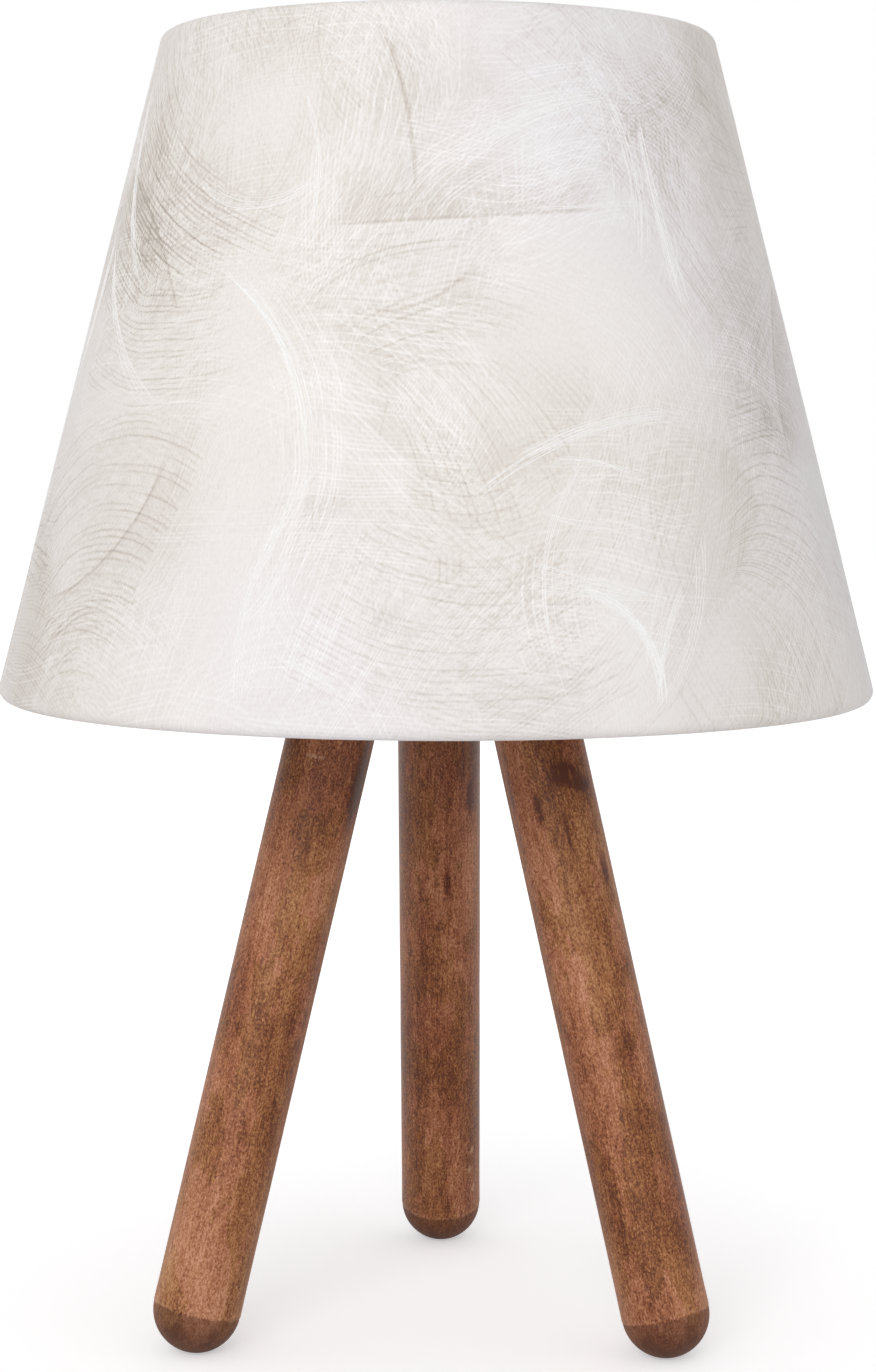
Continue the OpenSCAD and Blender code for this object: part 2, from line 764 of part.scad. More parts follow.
// Plastic body with a neck in the cap and a ledge for the LED board
module bulb_body() {
    neck_bore_r = body_neck_r - bulb_wall;
    ledge_top = bulb_seam_h - led_board_t;
    color(white_plastic) on_bulb() {
        rotate_extrude() polygon(concat(flare(0), backwards(flare(bulb_wall))));
        ring(body_neck_r, neck_bore_r, bulb_cap_h - cap_skirt_h + 0.4, bulb_cap_h + 0.3);
        ring(body_start_r, neck_bore_r, bulb_cap_h, bulb_cap_h + 0.3);
        ring(seam_r - bulb_wall / 2, led_board_d / 2 - led_ledge_w, ledge_top - led_ledge_h, ledge_top);
    }
}

// Opal globe, closed at the seam by the body
module bulb_globe() {
    color([1, 1, 0.98]) on_bulb() difference() {
        translate([0, 0, globe_z]) sphere(r = bulb_r);
        translate([0, 0, globe_z]) sphere(r = bulb_r - globe_t);
        post(bulb_r + 1, globe_z - bulb_r - 1, bulb_seam_h);
    }
}

// Round board that carries the light-emitting diodes
module led_board() {
    color([0.9, 0.9, 0.88]) on_bulb() {
        translate([0, 0, bulb_seam_h - led_board_t]) cylinder(d = led_board_d, h = led_board_t);
        for (i = [0 : 7])
            rotate([0, 0, i * 45])
                translate([led_board_d / 3.4 - led_chip_w / 2, -led_chip_w / 2, bulb_seam_h - led_board_t / 2])
                    cube([led_chip_w, led_chip_w, led_board_t / 2 + led_chip_t]);
    }
}

// Narrow board that stands in the cap, with its larger components
module driver_board() {
    top = bulb_seam_h - led_board_t;
    color([0.2, 0.45, 0.25]) on_bulb() {
        translate([-driver_w / 2, -driver_t / 2, driver_bottom_h])
            cube([driver_w, driver_t, top - driver_bottom_h]);
        translate([0, capacitor_d / 2, bulb_cap_h + parts_rise]) cylinder(d = capacitor_d, h = capacitor_h);
        translate([-coil_size[0] / 2, -driver_t / 2 - coil_size[1], bulb_cap_h + parts_rise])
            cube(coil_size + [0, driver_t / 2, 0]);
    }
}

leg_left();
leg_right();
leg_back();
hub();
leg_screws();
threaded_tube();
tube_washer();
tube_nut();
top_washer();
cord_bush();
holder_cap();
holder_sleeve();
holder_insert();
screw_shell();
centre_contact();
contact_rivets();
terminal_blocks();
terminal_screws();
lock_screw();
retaining_ring();
shade_cloth();
shade_lining();
top_wire();
bottom_wire();
seam_tape();
fitter_ring();
fitter_arms();
bulb_contact();
bulb_insulator();
bulb_cap();
bulb_body();
bulb_globe();
led_board();
driver_board();
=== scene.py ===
# %% [markdown]
# # A small table lamp on three wooden legs
# A conical shade of pearly, hand-brushed cloth stands on a tripod of round stained dowels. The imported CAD
# model is the frame: it gives every size and carries the moving bodies. This lesson dresses it. The cover
# cloth, its loose silk threads and the three legs are made new as surfaces, because their look lives in
# their shape. The lampholder, the wires and the bulb keep their CAD shapes and get finishes.

# %% The frame and the tools
import json
import math

import bpy
import numpy as np
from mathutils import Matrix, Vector


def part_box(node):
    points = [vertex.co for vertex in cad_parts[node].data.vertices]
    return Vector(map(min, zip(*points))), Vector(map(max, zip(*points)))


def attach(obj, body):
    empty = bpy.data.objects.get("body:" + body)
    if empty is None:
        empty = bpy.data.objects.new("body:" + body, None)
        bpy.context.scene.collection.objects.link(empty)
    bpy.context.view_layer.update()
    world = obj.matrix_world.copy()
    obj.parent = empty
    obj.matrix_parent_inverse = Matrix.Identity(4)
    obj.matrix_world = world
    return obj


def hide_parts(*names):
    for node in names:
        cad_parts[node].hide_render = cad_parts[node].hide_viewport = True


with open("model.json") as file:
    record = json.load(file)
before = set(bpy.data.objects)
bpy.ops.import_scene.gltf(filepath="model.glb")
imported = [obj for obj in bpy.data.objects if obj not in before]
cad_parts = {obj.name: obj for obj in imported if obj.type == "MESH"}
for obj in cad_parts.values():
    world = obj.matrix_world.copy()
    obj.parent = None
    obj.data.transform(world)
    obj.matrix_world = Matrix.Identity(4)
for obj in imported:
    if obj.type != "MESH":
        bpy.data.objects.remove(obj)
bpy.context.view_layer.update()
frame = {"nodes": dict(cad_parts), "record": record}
nodes = frame["nodes"]
scene = bpy.context.scene
scene.view_settings.view_transform = "Standard"
MM = 0.001

# %% [markdown]
# ## Camera
# The lamp was photographed from a little above its middle, near enough for the shade's rims to bend. A
# camera can be placed by eye, but fitting it to the rims and the legs gives the distance too, and with it
# the bend. The sensor's width counts along the picture's long side, as the picture is upright.

# %% Camera
camera = bpy.data.objects.new("camera", bpy.data.cameras.new("camera"))
scene.collection.objects.link(camera)
scene.camera = camera
camera.data.sensor_width = 36
camera.data.lens = 74.75
camera.location = (0, -0.7219, 0.2304)
camera_pitch, camera_roll, camera_turn = 0.0931, 0.0029, -0.0004
camera.rotation_euler = (math.pi / 2 - camera_pitch, -camera_roll, camera_turn)
print("camera", round(camera.data.lens, 2), "mm lens,", round(-camera.location.y, 3), "m in front")

# %% [markdown]
# ## Finishes as formulas
# A finish here is arithmetic on patterns: so much noise, times a mask, plus a line every millimetre.
# Blender writes such sums as Math nodes. Wiring them one by one hides the formula, so a small class wraps a
# node's output and lets Python's own operators add the nodes.

# %% A reading from a node, and a finish that holds nodes
class Reading:
    """What a node puts out. Arithmetic on it adds Math nodes."""

    def __init__(self, finish, socket):
        self.finish, self.socket = finish, socket

    def __add__(self, other):
        return self.finish.calculate("ADD", self, other)

    def __radd__(self, other):
        return self.finish.calculate("ADD", other, self)

    def __sub__(self, other):
        return self.finish.calculate("SUBTRACT", self, other)

    def __rsub__(self, other):
        return self.finish.calculate("SUBTRACT", other, self)

    def __mul__(self, other):
        return self.finish.calculate("MULTIPLY", self, other)

    def __rmul__(self, other):
        return self.finish.calculate("MULTIPLY", other, self)

    def __pow__(self, other):
        return self.finish.calculate("POWER", self, other)


def colour(tone):
    """A screen colour of 0 to 255 as the linear numbers that a socket takes. A reading stays as it is."""
    if isinstance(tone, Reading):
        return tone
    value = np.array(tone) / 255
    linear = np.where(value <= 0.04045, value / 12.92, ((value + 0.055) / 1.055) ** 2.4)
    return (*linear.tolist(), 1.0)


class Finish:
    """A material that is being made, or a world."""

    def __init__(self, name, kind=bpy.data.materials):
        self.material = kind.new(name)
        self.material.use_nodes = True
        self.tree = self.material.node_tree
        self.tree.nodes.clear()

    def node(self, kind, settings=None, inputs=None, output=0):
        """Adds a node: its settings first, then its sockets' values or links. Returns one of its outputs."""
        made = self.tree.nodes.new("ShaderNode" + kind)
        for key, value in (settings or {}).items():
            if key == "stops":
                ramp = made.color_ramp
                while len(ramp.elements) < len(value):
                    ramp.elements.new(1)
                for element, (place, tone) in zip(ramp.elements, value):
                    element.position, element.color = place, colour(tone)
            else:
                setattr(made, key, value)
        for key, value in (inputs or {}).items():
            if isinstance(value, Reading):
                self.tree.links.new(value.socket, made.inputs[key])
            else:
                made.inputs[key].default_value = value
        return Reading(self, made.outputs[output]) if made.outputs else None

    def calculate(self, operation, first, second=0.0):
        return self.node("Math", {"operation": operation}, {0: first, 1: second})

    def vector(self, operation, first, second, third=(0, 0, 0)):
        return self.node("VectorMath", {"operation": operation}, {0: first, 1: second, 2: third})

    def length(self, vector):
        return self.node("VectorMath", {"operation": "LENGTH"}, {0: vector}, "Value")

    def place(self):
        """Object coordinates, in metres."""
        return self.node("TexCoord", None, None, "Object")

    def stored(self, name, output="Vector"):
        """A value that the mesh carries at its points, as a vector, or as a number with the output Fac."""
        return self.node("Attribute", {"attribute_name": name}, None, output)

    def part(self, vector, letter):
        return self.node("SeparateXYZ", None, {0: vector}, letter)

    def join(self, x, y, z):
        return self.node("CombineXYZ", None, {0: x, 1: y, 2: z})

    def noise(self, where, scale, detail=2.0, roughness=0.5):
        return self.node(
            "TexNoise", None, {"Vector": where, "Scale": scale, "Detail": detail, "Roughness": roughness}
        )

    def grain(self, plank, long, scale, detail=2.0, roughness=0.55, shift=(0, 0, 0)):
        """Noise that is stretched along the plank's length: the smaller long is, the longer the grain."""
        return self.noise(self.vector("MULTIPLY_ADD", plank, (1, 1, long), shift), scale, detail, roughness)

    def ease(self, value, low, high, start=0.0, end=1.0):
        """Runs smoothly from start to end while value goes from low to high."""
        return self.node(
            "MapRange", {"interpolation_type": "SMOOTHSTEP"}, {0: value, 1: low, 2: high, 3: start, 4: end}
        )

    def blend(self, first, second, share, kind="MIX"):
        """Mixes two colours. A Mix node takes them in its sockets 6 and 7, and gives a colour as output 2."""
        settings = {"data_type": "RGBA", "blend_type": kind}
        return self.node("Mix", settings, {0: share, 6: colour(first), 7: colour(second)}, 2)

    def ramp(self, value, *stops):
        """Turns a number into a colour. Each stop is a place from 0 to 1 and its colour."""
        return self.node("ValToRGB", {"stops": stops}, {0: value})

    def relief(self, height, depth):
        """A bump whose full height is depth, in metres."""
        return self.node("Bump", None, {"Strength": 1.0, "Distance": depth, "Height": height})

    def shader(self, **values):
        """The closing Principled shader. An underscore in a name stands for a space."""
        inputs = {key.replace("_", " "): value for key, value in values.items()}
        surface = self.node("BsdfPrincipled", None, inputs)
        self.node("OutputMaterial", None, {"Surface": surface})
        return self.material


print("a finish can be written as a formula")

# %% [markdown]
# ## Floor, backdrop and light
# The photograph is a cut-out on white with faint shadows under the feet. Raising the light until the floor
# burns out would burn out the pale shade as well. So the floor and the world are white only for the rays
# that the camera, a gloss or a glass sends, and they give the lamp plain soft light from all round.

# %% Seen directly
def close_with(finish, output, lit, seen):
    """Ends a finish: seen for rays from the camera, a reflection or a glass, and lit for all other light."""
    direct = 0.0
    for ray in ("Is Camera Ray", "Is Glossy Ray", "Is Transmission Ray"):
        direct = finish.calculate("MAXIMUM", direct, finish.node("LightPath", None, None, ray))
    finish.node(output, None, {"Surface": finish.node("MixShader", None, {0: direct, 1: lit, 2: seen})})


# %% A mesh as an object
def add_piece(name, places, faces):
    """A smooth piece from its points, in metres, and the faces between them."""
    mesh = bpy.data.meshes.new(name)
    mesh.from_pydata(places, [], faces)
    mesh.polygons.foreach_set("use_smooth", np.ones(len(mesh.polygons), bool))
    piece = bpy.data.objects.new(name, mesh)
    scene.collection.objects.link(piece)
    return piece


# %% Floor
floor_half = 4.0
glow_near, glow_far = 0.40, 0.66  # how bright the floor is under the lamp and away from it
glow_start, glow_end = 0.03, 0.50  # how far from the middle the first ends and the second starts, in m
corner_signs = [(-1, -1), (1, -1), (1, 1), (-1, 1)]
floor = add_piece("floor", [(floor_half * x, floor_half * y, 0) for x, y in corner_signs], [(0, 1, 2, 3)])
paint = Finish("floor_paper")
lit = paint.node("BsdfDiffuse", None, {"Color": colour((243, 243, 245))})
away = paint.length(paint.place())
glow = paint.node("Emission", None, {
    "Color": paint.ease(away, glow_start, glow_end, glow_near, glow_far), "Strength": 1.0})
close_with(paint, "OutputMaterial", lit, paint.node("AddShader", None, {0: lit, 1: glow}))
floor.data.materials.append(paint.material)
print("floor", 2 * floor_half, "m wide")

# %% World
sky_level = 0.60
sky = Finish("studio", bpy.data.worlds)
scene.world = sky.material
soft_light = sky.node("Background", None, {"Color": (1.0, 0.99, 0.98, 1), "Strength": sky_level})
white = sky.node("Background", None, {"Color": (1, 1, 1, 1), "Strength": 1.0})
close_with(sky, "OutputWorld", soft_light, white)
print("sky", sky_level, "of white for the lamp")


# %% Lamps
def softbox(name, place, aim, size, power):
    """A square area light at place that faces aim."""
    light = bpy.data.lights.new(name, "AREA")
    light.size, light.energy = size, power
    box = bpy.data.objects.new(name, light)
    scene.collection.objects.link(box)
    box.location = place
    box.rotation_euler = (Vector(place) - Vector(aim)).to_track_quat("Z", "Y").to_euler()


lamp_middle = (0, 0, 0.17)
softbox("key_light", (-0.52, -2.08, 1.0), lamp_middle, size=1.5, power=20)

# %% [markdown]
# ## The shade's cone
# The cover is cut flat and rolled up, so its pattern is laid out flat too. A cone unrolls to a sector of a
# ring: the distance from the cone's tip stays, and the angle round the lamp shrinks by the sine of the
# cone's half angle. Working in flat places keeps the brushed lines even from rim to rim.

# %% Sizes of the cone, read from the rim wires
cloth_t, lining_t = 0.6 * MM, 0.5 * MM  # the cloth with its glue, and the stiff sheet under it


def rim(node):
    """The radius of a rim wire's middle line, that line's height, and the wire's own radius."""
    low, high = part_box(node)
    wire = (high.z - low.z) / 2
    return high.x - wire, low.z + wire, wire


lower_r, lower_z, wire_r = rim("bottom_wire")
upper_r, upper_z, _ = rim("top_wire")
slope = np.array([upper_r - lower_r, upper_z - lower_z])
slope_len = float(np.hypot(*slope))
up_slope = slope / slope_len
outward = np.array([up_slope[1], -up_slope[0]])
roll_r = wire_r + lining_t + cloth_t
sine = -up_slope[0]
foot_of_slope = np.array([lower_r, lower_z]) + roll_r * outward
tip_far = foot_of_slope[0] / sine
tip_near = tip_far - slope_len
print("sector from", round(tip_near / MM, 1), "to", round(tip_far / MM, 1), "mm,",
      round(360 * sine, 1), "degrees")

# %% [markdown]
# ## Surfaces from grids
# The cover and the legs are grids of points worked out as whole arrays. One helper turns a grid into a
# mesh. It joins the last column to the first, closes both ends, and stores the flat map and the other
# values that the finishes read.

# %% Values on a mesh
def with_middles(value, count):
    """A grid's values as rows, with the first and last row's average added for the middles of closed ends."""
    size = value.shape[-1]
    rows = np.vstack([value.reshape(-1, size), value[0].mean(0), value[-1].mean(0)])
    return rows[:count].astype(np.float32)


def store(piece, name, value):
    """Keeps a number or a vector for every point of a piece under a name that its finish can read."""
    mesh, number = piece.data, value.ndim == 2
    kind, field = ("FLOAT", "value") if number else ("FLOAT_VECTOR", "vector")
    rows = with_middles(value[..., None] if number else value, len(mesh.vertices))
    mesh.attributes.new(name, kind, "POINT").data.foreach_set(field, rows.ravel())


# %% A mesh from a grid of points
def surface(name, points, cap=None, flat=None, values=None):
    """Quads between neighbouring points of a grid, rows by columns, which closes round its columns. Rows run
    so that the quads face out. The first and last row are filled by the triangles that cap lists, three
    columns each, or else by triangles to their middle."""
    rows, columns = points.shape[:2]
    index = np.arange(rows * columns).reshape(rows, columns)
    index = np.hstack([index, index[:, :1]])
    quads = np.stack([index[:-1, :-1], index[:-1, 1:], index[1:, 1:], index[1:, :-1]], -1).reshape(-1, 4)
    places = points.reshape(-1, 3)
    if cap is None:
        first, last = np.full(columns, len(places)), np.full(columns, len(places) + 1)
        places = np.vstack([places, points[0].mean(0), points[-1].mean(0)])
        start = np.stack([index[0, 1:], index[0, :-1], first], -1)
        end = np.stack([index[-1, :-1], index[-1, 1:], last], -1)
    else:
        start, end = index[0][cap[:, ::-1]], index[-1][cap]
    triangles = np.vstack([start, end])
    piece = add_piece(name, places.tolist(), quads.tolist() + triangles.tolist())
    if flat is not None:
        corners = np.concatenate([quads.ravel(), triangles.ravel()])
        layer = piece.data.uv_layers.new(name="flat")
        layer.uv.foreach_set("vector", with_middles(flat, len(places))[corners].ravel())
    for key, value in (values or {}).items():
        store(piece, key, value)
    print(name, "has", 2 * len(quads) + len(triangles), "triangles")
    return piece


# %% A gentle random height
def ripple(seed, along, across):
    """Adds up sine waves of random direction and phase, with lengths near 1, and scales the sum to -1..1."""
    random, waves = np.random.default_rng(seed), 7
    turn, phase = random.uniform(0, 2 * np.pi, (2, waves)).tolist()
    length = random.uniform(0.7, 1.5, waves)
    total = sum(
        np.sin(2 * np.pi * (along * np.cos(t) + across * np.sin(t)) / s + p)
        for t, p, s in zip(turn, phase, length)
    )
    return total / waves


# %% [markdown]
# ## The cover cloth
# On the real shade the cloth is glued on a stiff sheet, rolled round both rim wires and tucked in, and its
# two ends lap at the back. A cone with Solidify would miss the rolled rims and the lap. So the cloth's
# section is drawn as one closed loop, up the outside, round the upper wire, back along the inner face and
# round the lower wire, and is carried round the lamp from one end of the cloth to the other.

# %% Section of the cover
side_steps, roll_steps, inner_side_steps, inner_roll_steps = 96, 16, 10, 8
tuck = math.radians(290)
cover_t = 0.5 * MM  # 0.1 mm less than cloth_t, so that the inner face lies off the sheet


def roll(at_top, radius, steps):
    """Points round a wire, from the outside over the rim to the tucked end: metres up the slope and out."""
    angle = np.linspace(0, tuck, steps + 1)
    up = (slope_len if at_top else 0) + (1 if at_top else -1) * radius * np.sin(angle)
    return np.stack([up, radius * np.cos(angle)], -1)


def loop_of_section():
    """The closed section: (up, out) for each point, and how far up the flat cloth it lies."""
    inner_r = roll_r - cover_t
    bottom_out, top_out = roll(False, roll_r, roll_steps)[::-1], roll(True, roll_r, roll_steps)
    side_up = np.linspace(0, slope_len, side_steps + 1)[1:-1]
    side_out = np.stack([side_up, np.full_like(side_up, roll_r)], -1)
    bottom_in, top_in = roll(False, inner_r, inner_roll_steps), roll(True, inner_r, inner_roll_steps)[::-1]
    back_up = np.linspace(slope_len, 0, inner_side_steps + 1)[1:-1]
    side_in = np.stack([back_up, np.full_like(back_up, inner_r)], -1)
    arc = roll_r * tuck
    long = [np.linspace(-arc, 0, roll_steps + 1), side_up,
            np.linspace(slope_len, slope_len + arc, roll_steps + 1),
            np.linspace(slope_len + arc, slope_len, inner_roll_steps + 1), back_up,
            np.linspace(0, -arc, inner_roll_steps + 1)]
    return np.vstack([bottom_out, side_out, top_out, top_in, side_in, bottom_in]), np.concatenate(long)


def cap_of_section(count_out, up):
    """Triangles that fill a cut through the cloth. Its outside and its inside have different numbers of
    points, so each stretch of one side joins the point of the other that is as far up the cloth."""
    outer, inner = up[:count_out], up[count_out:][::-1]
    outer_mid, inner_mid = (outer[1:] + outer[:-1]) / 2, (inner[1:] + inner[:-1]) / 2
    last, k, j = len(up) - 1, np.arange(len(outer_mid)), np.arange(len(inner_mid))
    on_outer = np.stack([k, k + 1, last - np.searchsorted(inner_mid, outer_mid)], -1)
    on_inner = np.stack([last - j - 1, last - j, np.searchsorted(outer_mid, inner_mid)], -1)
    return np.vstack([on_outer, on_inner])


section, cloth_up = loop_of_section()
outer_count = side_steps - 1 + 2 * (roll_steps + 1)
print("section has", len(section), "points and", round(cloth_up.max() / MM + tuck * roll_r / MM, 1),
      "mm of cloth")

# %% How the cloth lies
pucker_height, pucker_reach, wave_height = 0.10 * MM, 7 * MM, 0.05 * MM


def slack_at(around, up):
    """How far the cloth stands off its sheet: puckers near the rims and very slight waves between them."""
    near_rim = np.exp(-np.minimum(np.abs(up), np.abs(up - slope_len)) / pucker_reach)
    puckers = pucker_height * ripple(3, around * 14, up / (30 * MM)) * near_rim
    return puckers + wave_height * ripple(4, around * 5, up / (45 * MM))


# %% The cover, carried round
columns, lap_w, lap_ramp = 560, 10 * MM, 5 * MM
share = np.linspace(0, 1, columns)
height = cloth_up[:, None] + 0 * share[None, :]
far = tip_far - height
lap_turn = lap_w / (far * sine)
around = -np.pi + share[None, ::-1] * (2 * np.pi + lap_turn)
before_lap = (around - np.pi) * far * sine
climb = np.clip(before_lap / lap_ramp + 1, 0, 1)
lap_lift = cloth_t * climb**2 * (3 - 2 * climb)
slack = slack_at(around, height)
out = section[:, 1][:, None] + 0 * share[None, :]
facing = np.clip(out / wire_r, -1, 1)
lift = (lap_lift + slack) * facing
radius = lower_r + section[:, 0][:, None] * up_slope[0] + (out + lift) * outward[0]
level = lower_z + section[:, 0][:, None] * up_slope[1] + (out + lift) * outward[1]
cover_points = np.stack([radius * np.sin(around), -radius * np.cos(around), level + 0 * around], -1)
cover_points = cover_points.transpose(1, 0, 2)
cover_flat = np.stack([far * np.sin(around * sine), -far * np.cos(around * sine)], -1).transpose(1, 0, 2)
cover = surface("shade_cover", cover_points, cap=cap_of_section(outer_count, cloth_up), flat=cover_flat)
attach(cover, "shade")
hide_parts("shade_cloth")
cloth_far, cloth_near = tip_far + tuck * roll_r, tip_near - tuck * roll_r
sector = 2 * math.pi * sine + lap_w / ((tip_far + tip_near) / 2)
cloth_area = sector / 2 * (cloth_far**2 - cloth_near**2)
flat_size = (2 * cloth_far * math.sin(sector / 2), cloth_far - cloth_near * math.cos(sector / 2))
print("flat cloth", [round(v, 4) for v in flat_size], "m, area", round(cloth_area, 4), "m2")

# %% [markdown]
# ## The brushed threads
# The cloth is a film of fine silk threads that were combed over it in sweeps: most run in arcs round a
# point, some fan out of it. Drawing each thread would take tens of thousands of curves. Instead every point
# of the cover stores three numbers for a sweep: how many threads across it lies, how far along them, and
# how deep inside the sweep's edge. The finish draws a line for every whole number of threads. Sweeps share
# a few layers that lie on each other, and inside a layer the one that covers a point most deeply wins.

# %% Angles and flat places
def wrapped(angle):
    """The same angle, from -pi to pi."""
    return (angle + np.pi) % (2 * np.pi) - np.pi


def flat_place(turn, far):
    """The place on the flat cloth that lies far mm from the cone's tip, turn degrees from the front."""
    return np.array([far * math.sin(math.radians(turn)), -far * math.cos(math.radians(turn))])


# %% One sweep
def swept(flat, pole, near, reach, start, end, lean, pitch, seed):
    """For flat points, in mm: threads across, mm along, and mm inside the sweep's edge. Threads cross the
    circles round the pole at the lean angle, in degrees: 0 is arcs and 90 is a fan."""
    wander = 1.2 * ripple(seed, flat[..., 0] / 26, flat[..., 1] / 26)
    wander += 0.10 * ripple(seed + 1, flat[..., 0] / 7, flat[..., 1] / 7)
    x, y = flat[..., 0] - pole[0] + wander, flat[..., 1] - pole[1] - wander
    distance = np.hypot(x, y)
    middle, half = math.radians(start + end) / 2, math.radians(end - start) / 2
    turn = wrapped(np.arctan2(y, x) - middle)
    typical, tilt = (near + reach) / 2, math.radians(lean)
    across = distance * math.cos(tilt) + turn * typical * math.sin(tilt)
    along = turn * typical * math.cos(tilt) - distance * math.sin(tilt)
    inside = np.minimum(np.minimum(distance - near, reach - distance), (half - np.abs(turn)) * distance)
    frayed = 2.5 * ripple(seed + 2, flat[..., 0] / 17, flat[..., 1] / 17)
    return across / pitch, along, inside + frayed


# %% Where the brush went
front_sweeps = [  # pole, nearest and furthest radius, start, end, lean, pitch, weight: one list a layer
    [((-92, -432), 12, 74, 56, 128, 0, 1.6, -0.9), ((-42, -296), 22, 46, -160, 70, 4, 1.2, 0.5),
     ((59, -379), 58, 98, 103, 141, 0, 0.9, 0.8),
     ((-233, -677), 452, 506, 43, 54, 0, 1.2, -0.7), ((-14, -366), 6, 26, -50, 85, 20, 1.0, 0.4)],
    [((71, -456), 60, 97, 94, 134, 0, 1.1, 0.5), ((-5, -245), 60, 106, -168, -116, 0, 1.4, -0.8),
     ((-60, -335), 50, 84, 34, 108, 0, 1.0, 0.5), ((5, -385), 22, 62, 58, 132, 0, 1.7, -0.6),
     ((69, -407), 28, 56, 132, 206, 0, 1.1, 0.8), ((100, -300), 32, 64, -188, -122, 0, 1.3, -0.7),
     ((-104, -452), 20, 60, 36, 80, 0, 1.3, 0.5)],
    [((16, -219), 112, 162, -146, -116, 0, 1.1, -1.1), ((-58, -288), 22, 76, -132, -66, 0, 1.3, -0.8),
     ((-80, -376), 42, 61, -48, 54, 0, 0.9, 1.0), ((7, -364), 18, 78, -126, -58, 0, 1.4, -0.5),
     ((-85, -417), 162, 197, 33, 54, 0, 1.0, -0.6), ((38, -300), 4, 40, -150, -40, 60, 1.0, 0.8)],
    [((-98, -440), 8, 46, 38, 132, 0, 1.3, -0.6), ((-250, -300), 148, 216, -13, 15, 0, 1.3, -0.5),
     ((99, -322), 114, 137, 163, 190, 0, 1.0, 0.8), ((66, -405), 4, 58, -76, 82, 55, 1.2, -0.8),
     ((-111, -320), 100, 112, -3, 25, 0, 0.7, -0.9), ((30, -440), 10, 52, 60, 150, 10, 1.2, 0.4)],
]


def random_sweeps(seed, count):
    """Sweeps all over the sector, with the same values as the listed ones."""
    random = np.random.default_rng(seed)
    made = []
    for _ in range(count):
        pole = flat_place(random.uniform(-50, 50), random.uniform(225, 490))
        near, width = random.uniform(4, 70), random.uniform(26, 58)
        start, span = random.uniform(0, 360), math.degrees(random.uniform(55, 120) / (near + width / 2))
        made.append((pole, near, near + width, start, start + min(span, 200),
                     float(random.choice([0, 0, 5, 12, 30, 70])), random.uniform(0.85, 1.6),
                     float(random.choice([-0.9, -0.6, 0.5, 0.8]))))
    return made


def in_front(sweep):
    """True where a random sweep would cover the listed ones."""
    return abs(math.degrees(math.atan2(sweep[0][0], -sweep[0][1]))) < 22


layers = [front + [sweep for sweep in random_sweeps(40 + k, 40) if not in_front(sweep)]
          for k, front in enumerate(front_sweeps)]
layers += [random_sweeps(60 + k, 60) for k in range(3)]
layer_edges = [0.5, 7.0, 2.5, 9.0, 0.8, 5.0, 10.0]
flat_mm = cover_flat / MM


def lay(layer, number):
    """One layer: the winning sweep's three numbers at each point, and its weight. Where two sweeps meet, the
    depth runs through 0, so the jump from one set of threads to the other doesn't show."""
    shape = flat_mm.shape[:2]
    across, along, weight = np.zeros(shape), np.zeros(shape), np.zeros(shape)
    best, second = np.full(shape, -50.0), np.full(shape, -50.0)
    for k, (*sweep, sweep_weight) in enumerate(layer):
        a, b, inside = swept(flat_mm, *sweep, 100 * number + k)
        wins = inside > best
        second = np.where(wins, best, np.maximum(second, inside))
        best = np.where(wins, inside, best)
        across, along = np.where(wins, a + 97 * k, across), np.where(wins, b, along)
        weight = np.where(wins, sweep_weight, weight)
    depth = np.minimum(best, best - second)
    return np.stack([across, along, np.maximum(depth, -3)], -1), weight


for number, layer in enumerate(layers):
    field, weight = lay(layer, number)
    store(cover, f"sweep_{number}", field)
    store(cover, f"weight_{number}", weight)
print(sum(len(layer) for layer in layers), "sweeps in", len(layers), "layers")

# %% [markdown]
# ## Folds, and calm or crowded patches
# Combing leaves the film uneven: it creases here and there, some places stay smooth, and in others the
# threads crowd and darken. Painting that by hand would need a picture. A crease is an arc instead, stored as
# the distance past it, and the patches are sums of soft round spots, so a few numbers steer the look. At the
# right edge of the front, one fold and two of the spots also darken the cloth as painted shade.

# %% Folds
folds = [  # middle and radius of the arc, start, end, darker side (1 outside, -1 inside), tone and line
    ((-18, -39), 287, -91.5, -78.0, -1, 0.13, 0.10), ((-106, -357), 43, -96, -22, 1, 0.05, 0.16),
    ((-111, -320), 106, 0, 24, 1, 0.04, 0.14), ((-159, -368), 98, 15, 52, -1, 0.10, 0.12),
    # The last fold lies at the right edge of the front: its darker side is partly painted shade.
    ((-12, -322), 24, -100, -30, 1, 0.04, 0.14), ((150, -350), 52, 140, 205, -1, 0.10, 0.10),
]


def fold_field(flat, middle, radius, start, end, side):
    """Millimetres past a fold's arc on its darker side, and millimetres inside the nearer end of the arc."""
    x, y = flat[..., 0] - middle[0], flat[..., 1] - middle[1]
    centre, half = math.radians(start + end) / 2, math.radians(end - start) / 2
    turn = wrapped(np.arctan2(y, x) - centre)
    return np.stack([side * (np.hypot(x, y) - radius), (half - np.abs(turn)) * radius, 0 * x], -1)


for number, (*arc, _, _) in enumerate(folds):
    store(cover, f"fold_{number}", fold_field(flat_mm, *arc))
print(len(folds), "folds")

